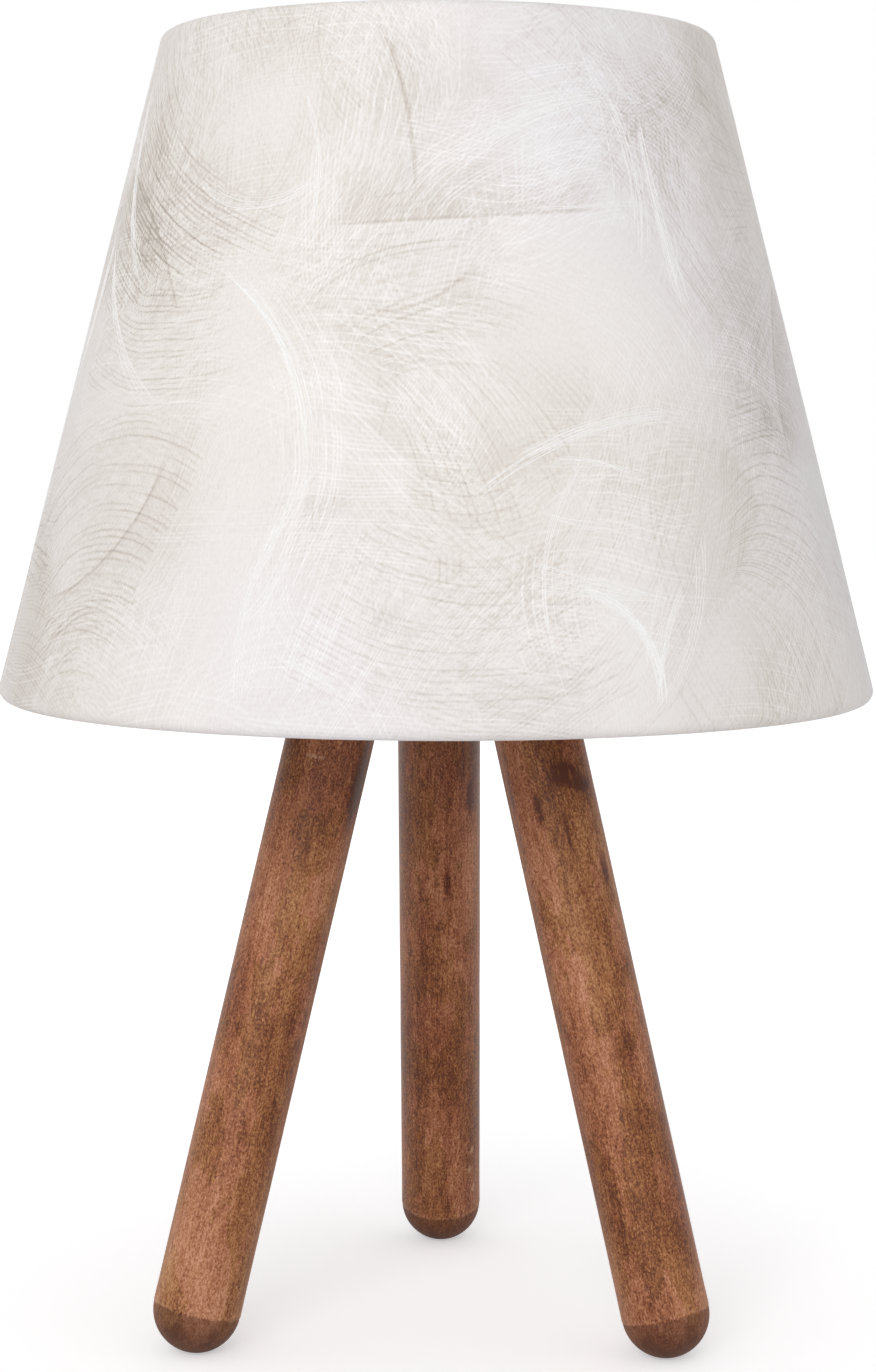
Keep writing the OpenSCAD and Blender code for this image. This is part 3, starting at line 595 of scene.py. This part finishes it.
# %% Calm, crowded and toned patches
patches = {  # middle, half width and half height of each spot, in mm, and its strength
    "calm": [(-48, -402, 10, 34, 1), (-45, -345, 10, 17, 1), (42, -331, 20, 13, 1),
             (-42, -296, 17, 15, 1), (25, -352, 14, 9, 1), (70, -420, 12, 12, 1), (-130, -330, 18, 22, 1),
             (140, -330, 20, 18, 1), (190, -380, 22, 18, 1), (-210, -350, 22, 20, 1),
             (-250, -260, 20, 24, 1), (240, -240, 22, 22, 1)],
    # The spot at (91, -350) here, and the tall toned spot at (78, -360) below, darken the right edge of the
    # front, partly as painted shade.
    "dense": [(-81, -319, 14, 22, 1.0), (-118, -412, 10, 24, 0.9), (91, -350, 15, 28, 0.8),
              (59, -290, 12, 9, 0.6), (5, -379, 15, 8, 0.6), (15, -318, 20, 7, 0.5), (170, -300, 20, 18, 0.8),
              (-190, -320, 20, 20, 0.8), (230, -330, 18, 24, 0.7), (-260, -330, 20, 20, 0.7),
              (130, -400, 14, 14, 0.6), (-170, -240, 18, 14, 0.7)],
    "tone": [(44, -410, 13, 30, 0.16), (34, -300, 12, 22, 0.10), (40, -345, 12, 16, 0.05),
             (-12, -298, 11, 14, -0.11), (-14, -362, 10, 22, -0.08), (10, -298, 10, 12, -0.06),
             (15, -423, 12, 12, 0.06), (78, -360, 14, 70, -0.06), (-74, -325, 14, 14, 0.08)],
}


def spot(x, y, wide, tall, strength):
    """A round patch on the flat cloth that fades outwards, 1/e of its strength at its half width."""
    aside, above = (flat_mm[..., 0] - x) / wide, (flat_mm[..., 1] - y) / tall
    return strength * np.exp(-aside**2 - above**2)


for name, spots in patches.items():
    store(cover, name, np.minimum(sum(spot(*values) for values in spots), 1))
    print(len(spots), name, "spots")

# %% [markdown]
# ## The cloth's finish
# All threads have one colour, so what the eye sees is how many lie on each other. One number therefore
# carries the whole look: 0 is a shadow between threads, 1 a bright bundle. Each layer adds its lines and a
# small step of tone inside its edge, a ramp turns the sum into pearly tones, and the same number raises the
# surface by a few hundredths of a millimetre.

# %% Lines of threads
line_sharpness, line_mean = 2.6, 0.115


def thread_lines(cloth, across, along, seed):
    """A thin line for every whole number across, each with its own strength that changes slowly along it.
    The lines' mean is taken off, so that they leave the cloth's tone as it is."""
    which, inside = cloth.calculate("FLOOR", across), cloth.calculate("FRACT", across)
    ridge = 1 - cloth.calculate("ABSOLUTE", inside * 2 - 1)
    own = cloth.noise(cloth.join(which * 3.71 + seed, along * 0.035, 0.37 * seed), 1, 0)
    return ridge ** line_sharpness * cloth.ease(own, 0.30, 0.75) - line_mean


# %% Sweeps, wide arcs and creases
top_layers, top_line, low_line, layer_step = 4, 0.29, 0.17, 0.036
hair_weight, arc_weight, jitter_span = 0.28, 0.20, 0.3
wide_families = [((-0.9, -0.1, 0), 1150), ((0.8, -0.9, 0), 1250), ((0.1, 0.9, 0), 980)]


def swept_layers(cloth, place, level, stir):
    """Adds each layer's step of tone and its lines, and fine hair between the lines of the top layers."""
    jitter = jitter_span * (cloth.noise(place, 420, 1) - 0.5)
    for number, edge in enumerate(layer_edges):
        stored, weight = cloth.stored(f"sweep_{number}"), cloth.stored(f"weight_{number}", "Fac")
        covered = cloth.ease(cloth.part(stored, "Z"), 0.0, edge)
        across, along = cloth.part(stored, "X") + jitter, cloth.part(stored, "Y")
        lines = thread_lines(cloth, across, along, 11.3 * number)
        on_top = number < top_layers
        level = level + stir * covered * weight * (layer_step + (top_line if on_top else low_line) * lines)
        if on_top:
            hair = cloth.noise(cloth.join(across * 1.9, along * 0.35, 5.1 * number), 1, 2, 0.6)
            level = level + hair_weight * stir * covered * (hair - 0.5)
    return level


def wide_arcs(cloth, place, level, stir):
    """Adds faint arcs round three far poles, each given in metres with its threads to the metre."""
    for number, (pole, threads) in enumerate(wide_families):
        away = cloth.vector("SUBTRACT", place, pole)
        reach = cloth.length(away) + 0.012 * cloth.noise(place, 14 + 3 * number, 1)
        there = cloth.ease(cloth.noise(place, 20 + 5 * number, 1), 0.44, 0.62)
        lines = thread_lines(cloth, reach * threads, cloth.part(away, "X") * 700, 3.7 * number)
        level = level + arc_weight * stir * there * lines
    return level


def creased(cloth, level):
    """Takes off each fold's crease line, and a tone that fades away over 20 mm on its darker side."""
    for number, (*_, tone, line) in enumerate(folds):
        stored = cloth.stored(f"fold_{number}")
        past, inside = cloth.part(stored, "X"), cloth.ease(cloth.part(stored, "Y"), 0, 9)
        crease = cloth.ease(cloth.calculate("ABSOLUTE", past - 0.2), 0.75, 0.15)
        darker = cloth.ease(past, 20, 0.5) * cloth.ease(past, -0.25, 0.25)
        level = level - inside * (tone * darker + line * crease)
    return level


# %% Cloth
def cloth_finish():
    cloth = Finish("shade_cloth_silk")
    place = cloth.node("UVMap", {"uv_map": "flat"})
    fibre = cloth.noise(cloth.vector("MULTIPLY", place, (1, 0.5, 1)), 1500, 2, 0.7)
    calm, dense, tone = (cloth.stored(name, "Fac") for name in patches)
    stir = 1 - 0.85 * calm + 0.5 * dense
    level = 0.50 + 0.10 * (cloth.noise(place, 13, 2) - 0.5) + 0.32 * (fibre - 0.5)
    level = level + 0.05 * calm - 0.12 * dense + tone
    level = creased(cloth, wide_arcs(cloth, place, swept_layers(cloth, place, level, stir), stir))
    tint = cloth.ramp(
        level, (0.0, (178, 170, 161)), (0.3, (216, 210, 204)), (0.52, (237, 234, 232)),
        (0.72, (247, 246, 246)), (1.0, (255, 255, 255)))
    cool = cloth.ease(cloth.noise(place, 7, 1), 0.35, 0.65)
    warm_or_cool = cloth.blend((255, 253, 250), (252, 251, 254), cool)
    return cloth.shader(
        Base_Color=cloth.blend(tint, warm_or_cool, 1.0, "MULTIPLY"),
        Roughness=cloth.ease(level, 0.3, 0.9, 0.72, 0.5),
        Normal=cloth.relief(level, 0.07 * MM), Sheen_Weight=0.1, Sheen_Roughness=0.5)


cover.data.materials.append(cloth_finish())
print("cloth finish on", cover.name)

# %% [markdown]
# ## Loose silk threads
# A few hundred single threads lie on top of the film, in bundles that cross at bright knots. These are
# sharp and catch the light on their own, so they are real geometry: thin three-sided strands along arcs of
# the flat cloth, carried onto the cone with the same formula as the cover.

# %% Bundles of threads
front_bundles = [
    ((52, -197), 212, -98.5, -90, 16, 6.0, 1.2), ((29, -431), 23, 84, 0, 20, 1.4, 1.8),
    ((41, -431), 12, 35, -40, 10, 1.0, 1.2), ((6, -398), 58, 6, -44, 10, 2.4, 0.8),
    ((109, -433), 58, 150, 178, 9, 2.4, 0.8), ((77, -477), 114, 121, 102, 12, 1.2, 2.8),
    ((79, -410), 55, 143, 216, 3, 0.4, 1.2), ((35, -347), 46, -103, -70, 5, 0.6, 2.4),
    ((80, -271), 121, -114, -103, 2, 0.6, 0.6), ((32, -423), 44, 97, 68, 4, 0.8, 1.2),
    ((21, -404), 20, 62, 30, 2, 0.4, 0.6), ((-89, -379), 60, 50, 1, 18, 1.6, 2.0),
    ((21, -429), 67, 188, 133, 14, 2.6, 2.0), ((-74, -312), 47, 24, -22, 7, 1.6, 2.0),
    ((-44, -321), 87, 34, 2, 12, 0.8, 3.0), ((58, -398), 107, 120, 99, 10, 5.0, 0.8),
    ((286, -248), 242, 192, 202, 10, 1.0, 3.0), ((-122, -404), 84, 6, -22, 6, 1.6, 2.4),
    ((21, -433), 31, 57, -10, 8, 1.5, 4.0), ((71, -456), 92, 132, 99, 6, 3.0, 4.5),
    ((34, -406), 27, 112, 58, 4, 2.0, 1.5), ((69, -407), 45, 137, 206, 4, 1.6, 1.2),
    ((-80, -376), 52, 54, -6, 7, 5.0, 4.0), ((-190, -340), 167, -12, -37, 10, 2.0, 6.0),
    ((59, -379), 88, 106, 140, 9, 2.0, 8.0), ((104, -237), 85, -156, -136, 8, 3.0, 1.5),
    ((-5, -322), 54, 38, -6, 7, 2.0, 3.0), ((-40, -295), 23, -146, -52, 9, 3.0, 1.5),
    ((-18, -39), 286, -82, -76, 4, 0.8, 1.5), ((170, -450), 124, 158, 168, 5, 3.0, 1.0),
]


def random_bundles(seed, count):
    """Bundles on the sides and the back: middle, radius, start, end, threads, spread at start and at end."""
    random = np.random.default_rng(seed)
    made = []
    for _ in range(count):
        knot = flat_place(random.choice([-1, 1]) * random.uniform(17, 44), random.uniform(285, 430))
        radius, at = random.uniform(24, 110), random.uniform(0, 360)
        middle = knot - radius * np.array([math.cos(math.radians(at)), math.sin(math.radians(at))])
        span = math.degrees(random.uniform(25, 60) / radius) * random.choice([-1, 1])
        threads, spread = int(random.integers(5, 15)), random.uniform(2, 6)
        made.append((middle, radius, at, at + span, threads, 0.8, spread))
    return made


strand_w, strand_h, strand_sunk = 0.085, 0.055, 0.02  # half width, height and depth of the edges, in mm
strand_wave, strand_steps, strand_taper = 0.12, 26, 12
strand_t = np.linspace(0, 1, strand_steps)


def strands(bundle, seed):
    """The flat middle lines of one bundle's threads, in mm: radius and angle run along the arc, and each
    thread's own offset grows from the bundle's first spread to its second."""
    middle, radius, start, end, count, spread_start, spread_end = bundle
    random = np.random.default_rng(seed)
    own = random.normal(0, 0.5, (count, 1))
    first, last = random.uniform(-0.08, 0.12, (count, 1)), random.uniform(0.85, 1.1, (count, 1))
    along = first + (last - first) * strand_t
    spread = spread_start + (spread_end - spread_start) * along
    waves, phase = random.uniform(1, 3, (count, 1)), random.uniform(0, 1, (count, 1))
    wave = strand_wave * np.sin(2 * np.pi * (along * waves + phase))
    distance = radius + own * spread + wave
    turn = np.radians(start + (end - start) * along)
    return np.stack([middle[0] + distance * np.cos(turn), middle[1] + distance * np.sin(turn)], -1)


bundles, rim_margin = front_bundles + random_bundles(7, 40), 1 * MM
lines = np.concatenate([strands(bundle, 500 + k) for k, bundle in enumerate(bundles)])
reach = np.hypot(lines[..., 0], lines[..., 1]) * MM
lines = lines[(reach.min(1) > tip_near + rim_margin) & (reach.max(1) < tip_far - rim_margin)]
print(len(lines), "strands")

# %% From the flat sheet to the cone
def on_cone(flat, lift):
    """Points over the cover, lift metres off it, for flat places: the distance from the tip stays, and the
    angle is divided by the sine of the cone's half angle."""
    far = np.hypot(flat[..., 0], flat[..., 1])
    around, up = np.arctan2(flat[..., 0], -flat[..., 1]) / sine, tip_far - far
    off = slack_at(around, up) + lift
    section = foot_of_slope + up[..., None] * up_slope + off[..., None] * outward
    return np.stack(
        [section[..., 0] * np.sin(around), -section[..., 0] * np.cos(around), section[..., 1]], -1
    )


# %% Strands on the cone
def strand_mesh(name, lines):
    """Three-sided strands: two edges on the cloth, strand_w to either side of the line, and one above."""
    ahead = np.gradient(lines, axis=1)
    ahead /= np.linalg.norm(ahead, axis=-1, keepdims=True)
    aside = np.stack([-ahead[..., 1], ahead[..., 0]], -1)
    taper = np.minimum(1, np.minimum(strand_t, 1 - strand_t) * strand_taper)[None, :, None]
    edges = []
    for side, lift in ((-1, -strand_sunk), (1, -strand_sunk), (0, strand_h)):
        flat = (lines + side * strand_w * taper * aside) * MM
        edges.append(on_cone(flat, lift * MM * (taper[..., 0] if lift > 0 else 1)))
    points = np.stack(edges, 2)
    count = len(lines)
    index = np.arange(count * strand_steps * 3).reshape(count, strand_steps, 3)
    ring = np.concatenate([index, index[:, :, :1]], 2)
    quads = np.stack([ring[:, :-1, :-1], ring[:, :-1, 1:], ring[:, 1:, 1:], ring[:, 1:, :-1]], -1)
    quads = quads.reshape(-1, 4)
    ends = np.concatenate([index[:, 0, ::-1], index[:, -1]])
    print(name, "has", len(quads) * 2 + len(ends), "triangles")
    return add_piece(name, points.reshape(-1, 3).tolist(), quads.tolist() + ends.tolist())


# %% Silk
def silk_finish():
    silk = Finish("silk_strand")
    twist = silk.noise(silk.place(), 2500, 2)
    tint = silk.blend((249, 248, 245), (255, 255, 255), silk.ease(twist, 0.3, 0.6))
    return silk.shader(Base_Color=tint, Roughness=silk.ease(twist, 0.3, 0.7, 0.35, 0.5),
                       Normal=silk.relief(twist, 0.02 * MM), Sheen_Weight=0.1)


silk_threads = strand_mesh("silk_threads", lines)
silk_threads.data.materials.append(silk_finish())
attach(silk_threads, "shade")

# %% [markdown]
# ## The legs
# Each leg is a turned dowel with a ball end. A cylinder with a half sphere would be too perfect, and its
# pattern would be the same three times. So the leg is a profile turned round its leaning axis, with a
# slight waviness from the lathe, a crisp line where the ball starts and a flat spot where it stands. Its
# points also carry their place in the plank that the leg was cut from, and the grain is read from that.

# %% Sizes of the legs
leg_r, leg_len, leg_chamfer = 11.0, 185.0, 0.8
dome_step, foot_flat = 0.12, 0.3  # how much thinner the ball is than the shaft, and how much is cut off
foot_circle, top_circle, tripod_turn = 67.0, 22.8, -1.5
leg_axis_len, foot_z = leg_len - leg_r, leg_r - foot_flat
leg_lean = math.asin((foot_circle - top_circle) / leg_axis_len)
leg_turns = {"leg_back": 90 + tripod_turn, "leg_left": 210 + tripod_turn, "leg_right": 330 + tripod_turn}
print("lean", round(math.degrees(leg_lean), 2), "degrees")


# %% A leg as a turned profile
ball_steps, shaft_steps, leg_columns = 26, 250, 120
pole_gap = 0.05  # the angle that the ball's profile stops short of the foot's middle, which is cut flat
lathe_depth, lathe_length = 0.05, 24


def leg_profile():
    """Distance from the axis, and place along it from the ball's middle, in mm: the ball, the crisp line
    where the shaft starts, the shaft and its chamfered end."""
    turn = np.linspace(-np.pi / 2 + pole_gap, 0, ball_steps)
    ball = leg_r - dome_step
    ball_part = np.stack([ball * np.cos(turn), ball * np.sin(turn)], -1)
    edge = np.array([[leg_r - 0.03, 0.10], [leg_r, 0.35]])
    along = np.linspace(1.2, leg_axis_len - leg_chamfer, shaft_steps)
    shaft = np.stack([np.full_like(along, leg_r), along], -1)
    end = np.array([[leg_r - leg_chamfer, leg_axis_len], [leg_r * 0.5, leg_axis_len]])
    return np.vstack([ball_part, edge, shaft, end])


# %% Marks and tones of the wood
leg_marks = {  # degrees round the leg, mm along it, half width and length in mm, dark (above 0) or pale
    "leg_right": [(-36, 135.5, 4.2, 3.4, 1.0), (-12, 132, 3.0, 2.2, 0.9), (-80, 128, 1.3, 5.0, 1.0),
                  (-4, 111, 1.6, 4.6, 1.0), (-49, 120, 1.0, 7.0, 0.6), (-36, 66, 5.0, 9.0, 0.45),
                  (150, 80, 2.0, 5.0, 0.9), (60, 38, 1.5, 6.0, 0.8)],
    "leg_back": [(-130, 126, 1.5, 5.5, 1.0), (-167, 102, 1.2, 5.0, 0.9), (-172, 60, 3.0, 8.0, 0.4),
                 (-126, 19.7, 0.9, 1.3, -1.0), (-123, 7.5, 1.0, 1.2, -1.0), (-131, 14, 0.8, 1.6, -0.9),
                 (20, 90, 2.2, 4.0, 1.0), (70, 120, 1.4, 7.0, 0.8)],
    "leg_left": [(51, 140, 3.2, 0.7, -0.9), (122, 133, 3.4, 13.0, 0.7), (66, 118, 2.0, 6.0, 0.5),
                 (-100, 60, 2.0, 6.0, 0.9), (-60, 110, 1.4, 4.0, 0.9), (180, 40, 1.6, 5.0, 0.8)],
}
tone_places = [11, 29, 50, 72, 93, 115, 136]
leg_tones = {  # how much lighter (above 0) or darker each leg is made at those places along it, in mm
    "leg_left": [0.12, 0.11, 0.01, 0.0, 0.0, 0.13, 0.02],
    "leg_back": [-0.06, -0.08, -0.08, -0.03, -0.02, -0.02, 0.0],
    "leg_right": [0.04, -0.07, -0.03, -0.07, 0.01, 0.08, 0.07],
}


def marks_on(name, u, t):
    """How strongly each point lies in a dark (above 0) or pale (below 0) mark, as a sum of soft ellipses."""
    total = np.zeros(np.broadcast(u, t).shape)
    for turn, place, wide, long, strength in leg_marks[name]:
        aside = wrapped(u - math.radians(turn)) * leg_r
        total += strength * np.exp(-((aside / wide) ** 2) - ((t - place) / long) ** 2)
    return total


# %% Three legs
def make_leg(name, at_degrees, seed):
    """The profile turned round the leg's axis: point = middle + r cos(u) e1 + r sin(u) e2 + t axis."""
    at = math.radians(at_degrees)
    rotate = np.array([[math.cos(at), -math.sin(at), 0], [math.sin(at), math.cos(at), 0], [0, 0, 1]])
    first = rotate @ [math.cos(leg_lean), 0, math.sin(leg_lean)]
    second = rotate @ [0, 1, 0]
    axis = rotate @ [-math.sin(leg_lean), 0, math.cos(leg_lean)]
    middle = rotate @ [foot_circle, 0, foot_z]
    profile = leg_profile()
    u = np.linspace(0, 2 * np.pi, leg_columns, endpoint=False)
    r, t = profile[:, :1], profile[:, 1:]
    wave = lathe_depth * (ripple(seed, t / lathe_length, np.cos(u) / 2 + 0 * t) - 1)
    r = r + wave * np.clip(t / 6, 0, 1)
    local = np.stack([r * np.cos(u), r * np.sin(u), t + 0 * u], -1)
    points = middle + local @ np.stack([first, second, axis])
    points[..., 2] = np.maximum(points[..., 2], 0)
    shift = np.random.default_rng(seed).uniform(-400, 400, 3)
    leg = surface(name + "_turned", points * MM, values={
        "plank": local + shift, "leg_place": local, "marks": marks_on(name, u, t),
        "tone": np.interp(t, tone_places, leg_tones[name]) + 0 * u})
    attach(leg, "base")
    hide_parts(name)
    return leg


legs = {name: make_leg(name, at, 11 + k) for k, (name, at) in enumerate(leg_turns.items())}

# %% [markdown]
# ## Stained wood
# A close-grained hardwood under a walnut stain shows four things, from coarse to fine: cloudy patches where
# the stain took unevenly, lengthwise streaks, a fine speckle of pores, and a few dark flecks. All are
# noises that are stretched along the plank by different amounts. The ball end is end grain, which drinks
# more stain, so it is darker. It is also painted darker towards the floor, as shade, and a pale band above
# its edge is partly wear and partly a painted highlight. The top of each leg, under the shade, is darkened
# as a painted shadow of the shade.

# %% Wood
def wood_grain(wood, plank):
    """The stain's depth over a plank, 0 dark to 1 light, with its pores and its bands."""
    clouds, bands = wood.grain(plank, 0.4, 0.08, 3), wood.grain(plank, 0.05, 0.35, 3)
    streaks, pores = wood.grain(plank, 0.15, 1.3), wood.grain(plank, 0.6, 2.3, 2, 0.8)
    fibres = wood.grain(plank, 0.07, 3.6, 1)
    depth = 0.5 + 0.6 * (clouds - 0.5) + 0.3 * (bands - 0.5) + 0.3 * (streaks - 0.5)
    return depth + 1.35 * (pores - 0.5) + 0.3 * (fibres - 0.5), pores, bands


def leg_finish():
    wood = Finish("leg_wood_stained")
    plank, place = wood.stored("plank"), wood.stored("leg_place")
    along = wood.part(place, "Z")
    depth, pores, bands = wood_grain(wood, plank)
    flecks = wood.ease(wood.grain(plank, 0.3, 0.55, 2, 0.6), 0.66, 0.74)
    orange = wood.ease(wood.grain(plank, 0.22, 0.9, 1, 0.5, shift=(7, 3, 1)), 0.60, 0.72)
    marks = wood.stored("marks", "Fac")
    mottle, ragged = wood.grain(plank, 0.5, 0.45, 3, 0.7), wood.grain(plank, 0.7, 1.7, 2, 0.7)
    blot = wood.ease(marks * (0.2 + 1.6 * mottle), 0.22, 0.80)
    nick = wood.ease(marks * (3.0 * ragged - 0.6), -0.30, -0.75)
    patch = wood.ease(wood.grain(plank, 0.4, 0.09, 5, 0.62, shift=(31, 8, 2)), 0.49, 0.51)
    # The term from 100 to 140 mm along the leg darkens the top of each leg, under the shade: a painted shadow
    # of the shade.
    depth = depth + 0.34 * (mottle - 0.5) - 0.15 * wood.ease(along, 100, 140) - 0.34 * blot
    depth = depth + wood.stored("tone", "Fac") + 0.10 * (patch - 0.5)
    tint = wood.ramp(
        depth, (0.16, (84, 40, 19)), (0.36, (123, 71, 40)), (0.50, (154, 101, 64)),
        (0.66, (179, 127, 88)), (0.88, (207, 160, 122)))
    tint = wood.blend(tint, wood.blend((254, 251, 243), (253, 240, 250), patch), 1.0, "MULTIPLY")
    tint = wood.blend(tint, (170, 108, 62), 0.3 * orange)
    tint = wood.blend(tint, (74, 36, 22), 0.5 * flecks)
    tint = wood.blend(tint, (203, 165, 131), 0.6 * nick)
    ball = wood.ease(along + 1.2 * (pores - 0.5), 0.3, -0.5)
    ring_marks = wood.ease(along, -0.5, -4) * wood.ease(bands, 0.46, 0.60)
    tint = wood.blend(tint, (72, 34, 18), 0.55 * ring_marks)
    # low paints the ball darker towards the floor, where shade falls: painted shade, on top of the darker end
    # grain.
    low = wood.ease(along, -1, -10)
    tint = wood.blend(tint, (70, 36, 24), 0.55 * ball + 0.25 * low)
    # A pale band just above the ball's edge: partly wear, partly a painted highlight where the edge catches
    # the light.
    rim = wood.ease(along, 0.05, 0.35) * wood.ease(along, 1.6, 0.45) * wood.ease(pores, 0.42, 0.60)
    tint = wood.blend(tint, (190, 142, 106), 0.35 * rim)
    return wood.shader(
        Base_Color=tint, Roughness=wood.ease(depth, 0.2, 0.8, 0.40, 0.56) + 0.12 * ball,
        Normal=wood.relief(0.7 * pores + 0.3 * bands, 0.14 * MM), Specular_IOR_Level=0.25)


stained = leg_finish()
for leg in legs.values():
    leg.data.materials.append(stained)
print("stained wood on", ", ".join(leg.name for leg in legs.values()))

# %% [markdown]
# ## The parts that keep their CAD shape
# Hub, wires, lampholder and bulb are hidden in the photograph and show from below or through the top of the
# shade. Their shapes are exact already, so they only need finishes. All of them read Object coordinates, in
# metres, so a pattern keeps its scale from part to part.

# %% Hub wood
def hub_finish():
    wood = Finish("hub_wood_stained")
    place = wood.place()
    y, z, x = (wood.part(place, letter) * (1 / MM) for letter in "YZX")
    depth, pores, bands = wood_grain(wood, wood.join(y, z, x))
    tint = wood.ramp(
        depth, (0.15, (52, 28, 20)), (0.45, (92, 56, 38)), (0.65, (122, 80, 55)),
        (0.9, (150, 106, 76)))
    return wood.shader(Base_Color=tint, Roughness=wood.ease(depth, 0.2, 0.8, 0.42, 0.58),
                       Normal=wood.relief(0.7 * pores + 0.3 * bands, 0.14 * MM))


# %% Metals
def metal_finish(name, dark, light, rough, lines):
    """Plated or bare metal: fine lines round the axis left by turning, and a cloudy film on it."""
    metal = Finish(name)
    place = metal.place()
    film = metal.noise(place, 240, 3, 0.6)
    turned = metal.noise(metal.vector("MULTIPLY", place, (300, 300, 9000)), 1, 2)
    tint = metal.blend(dark, light, metal.ease(0.6 * film + 0.4 * turned, 0.3, 0.7))
    return metal.shader(Base_Color=tint, Metallic=1.0,
                        Roughness=metal.ease(film, 0.3, 0.7, rough - 0.07, rough + 0.09),
                        Normal=metal.relief(turned, 0.012 * lines * MM))


# %% Plastics, ceramic and enamel
def moulded_finish(name, dark, light, rough, grain, depth, coat):
    """Moulded, fired or painted surfaces: a faintly uneven tone and a fine skin."""
    skin = Finish(name)
    place = skin.place()
    drift, fine = skin.noise(place, 60, 3), skin.noise(place, grain, 2, 0.6)
    tint = skin.blend(dark, light, skin.ease(0.65 * drift + 0.35 * fine, 0.35, 0.6))
    return skin.shader(Base_Color=tint, Roughness=skin.ease(fine, 0.3, 0.7, rough - 0.05, rough + 0.07),
                       Normal=skin.relief(fine, depth * MM), Coat_Weight=coat, Coat_Roughness=0.15)


# %% Lining sheet
def lining_finish():
    """Stiff white sheet, faintly cloudy, with the fine pebble of a calendered film."""
    sheet = Finish("shade_lining_sheet")
    place = sheet.place()
    pebble, cloudy = sheet.noise(place, 1400, 2), sheet.noise(place, 35, 3)
    tint = sheet.blend((226, 222, 214), (240, 238, 232), sheet.ease(cloudy, 0.35, 0.65))
    return sheet.shader(Base_Color=tint, Roughness=sheet.ease(pebble, 0.3, 0.7, 0.48, 0.60),
                        Normal=sheet.relief(pebble, 0.03 * MM))


# %% Tape
weave_turn = 15700  # radians to the metre, which makes a thread every 0.4 mm


def tape_finish():
    """Woven tape, with the same threads across and along."""
    tape = Finish("seam_tape_woven")
    place = tape.place()
    across, along = (tape.calculate("SINE", tape.part(place, letter) * weave_turn) for letter in "XZ")
    weave = across * along * 0.5 + 0.5
    tint = tape.blend((206, 200, 188), (232, 228, 219), weave)
    return tape.shader(Base_Color=tint, Roughness=tape.ease(weave, 0, 1, 0.9, 0.75),
                       Normal=tape.relief(weave, 0.05 * MM))


# %% Circuit boards
def board_finish(name, dark, light, copper):
    """Lacquered board: a glass weave under the lacquer, and tracks as edges of a coarse cell pattern."""
    board = Finish(name)
    place = board.place()
    weave = board.noise(place, 2600, 1)
    cells = board.node("TexVoronoi", {"feature": "DISTANCE_TO_EDGE", "distance": "EUCLIDEAN"},
                       {"Vector": place, "Scale": 420, "Randomness": 0.6})
    track = board.ease(cells, 0.10, 0.16)
    lacquer = board.blend(dark, light, weave)
    tint = board.blend(lacquer, copper, (1 - track) * 0.5)
    return board.shader(Base_Color=tint, Roughness=board.ease(weave, 0.3, 0.7, 0.30, 0.42),
                        Normal=board.relief(track, 0.03 * MM))


# %% Finishes by the record's slots
metals = {  # dark and light tone, roughness, and how deep the turning lines are
    "zinc_steel": ("zinc_plated_steel", (160, 163, 166), (205, 207, 209), 0.36, 1.0),
    "brass": ("bare_brass", (178, 138, 74), (222, 186, 112), 0.30, 1.0),
    "nickel": ("nickel_plate", (176, 172, 164), (216, 213, 206), 0.24, 0.5),
    "solder": ("soft_solder", (140, 142, 144), (186, 188, 190), 0.42, 2.0),
}
moulded = {  # dark and light tone, roughness, grains to the metre, depth of the skin in mm, clear coat
    "porcelain": ("unglazed_porcelain", (214, 209, 196), (236, 232, 222), 0.62, 2600, 0.05, 0.0),
    "holder_plastic": ("holder_moulding", (212, 211, 206), (226, 225, 221), 0.42, 1900, 0.025, 0.0),
    "bush_plastic": ("bush_moulding", (30, 30, 31), (48, 48, 49), 0.55, 2200, 0.04, 0.0),
    "white_enamel": ("white_enamel_wire", (214, 213, 210), (230, 229, 227), 0.34, 700, 0.05, 0.25),
    "bulb_plastic": ("bulb_moulding", (220, 220, 218), (232, 232, 230), 0.40, 1700, 0.02, 0.0),
    "opal": ("opal_cover", (230, 229, 224), (240, 240, 236), 0.30, 1200, 0.01, 0.3),
    "black_glass": ("black_glass_ring", (18, 17, 20), (34, 32, 38), 0.22, 900, 0.02, 0.5),
}
boards = {  # dark and light tone, and the tracks' tone
    "board_white": ("lamp_board", (214, 215, 212), (232, 233, 230), (196, 190, 176)),
    "board_green": ("driver_board", (18, 74, 44), (30, 98, 60), (96, 128, 66)),
}
finishes = {
    "hub_wood": hub_finish(), "shade_lining": lining_finish(), "tape": tape_finish(), "leg_wood": stained,
    "shade_cloth": cover.data.materials[0],
}
for make, rows in ((metal_finish, metals), (moulded_finish, moulded), (board_finish, boards)):
    finishes |= {slot: make(*row) for slot, row in rows.items()}
print(len(finishes), "finishes, one for each slot")

# %% On the CAD nodes
for part in frame["record"]["subparts"]:
    node = nodes[part["node"]]
    for slot in node.material_slots:
        slot.material = finishes[part["material_slot"]]
    if not node.material_slots:
        node.data.materials.append(finishes[part["material_slot"]])
print(len(nodes), "CAD nodes have their finishes")
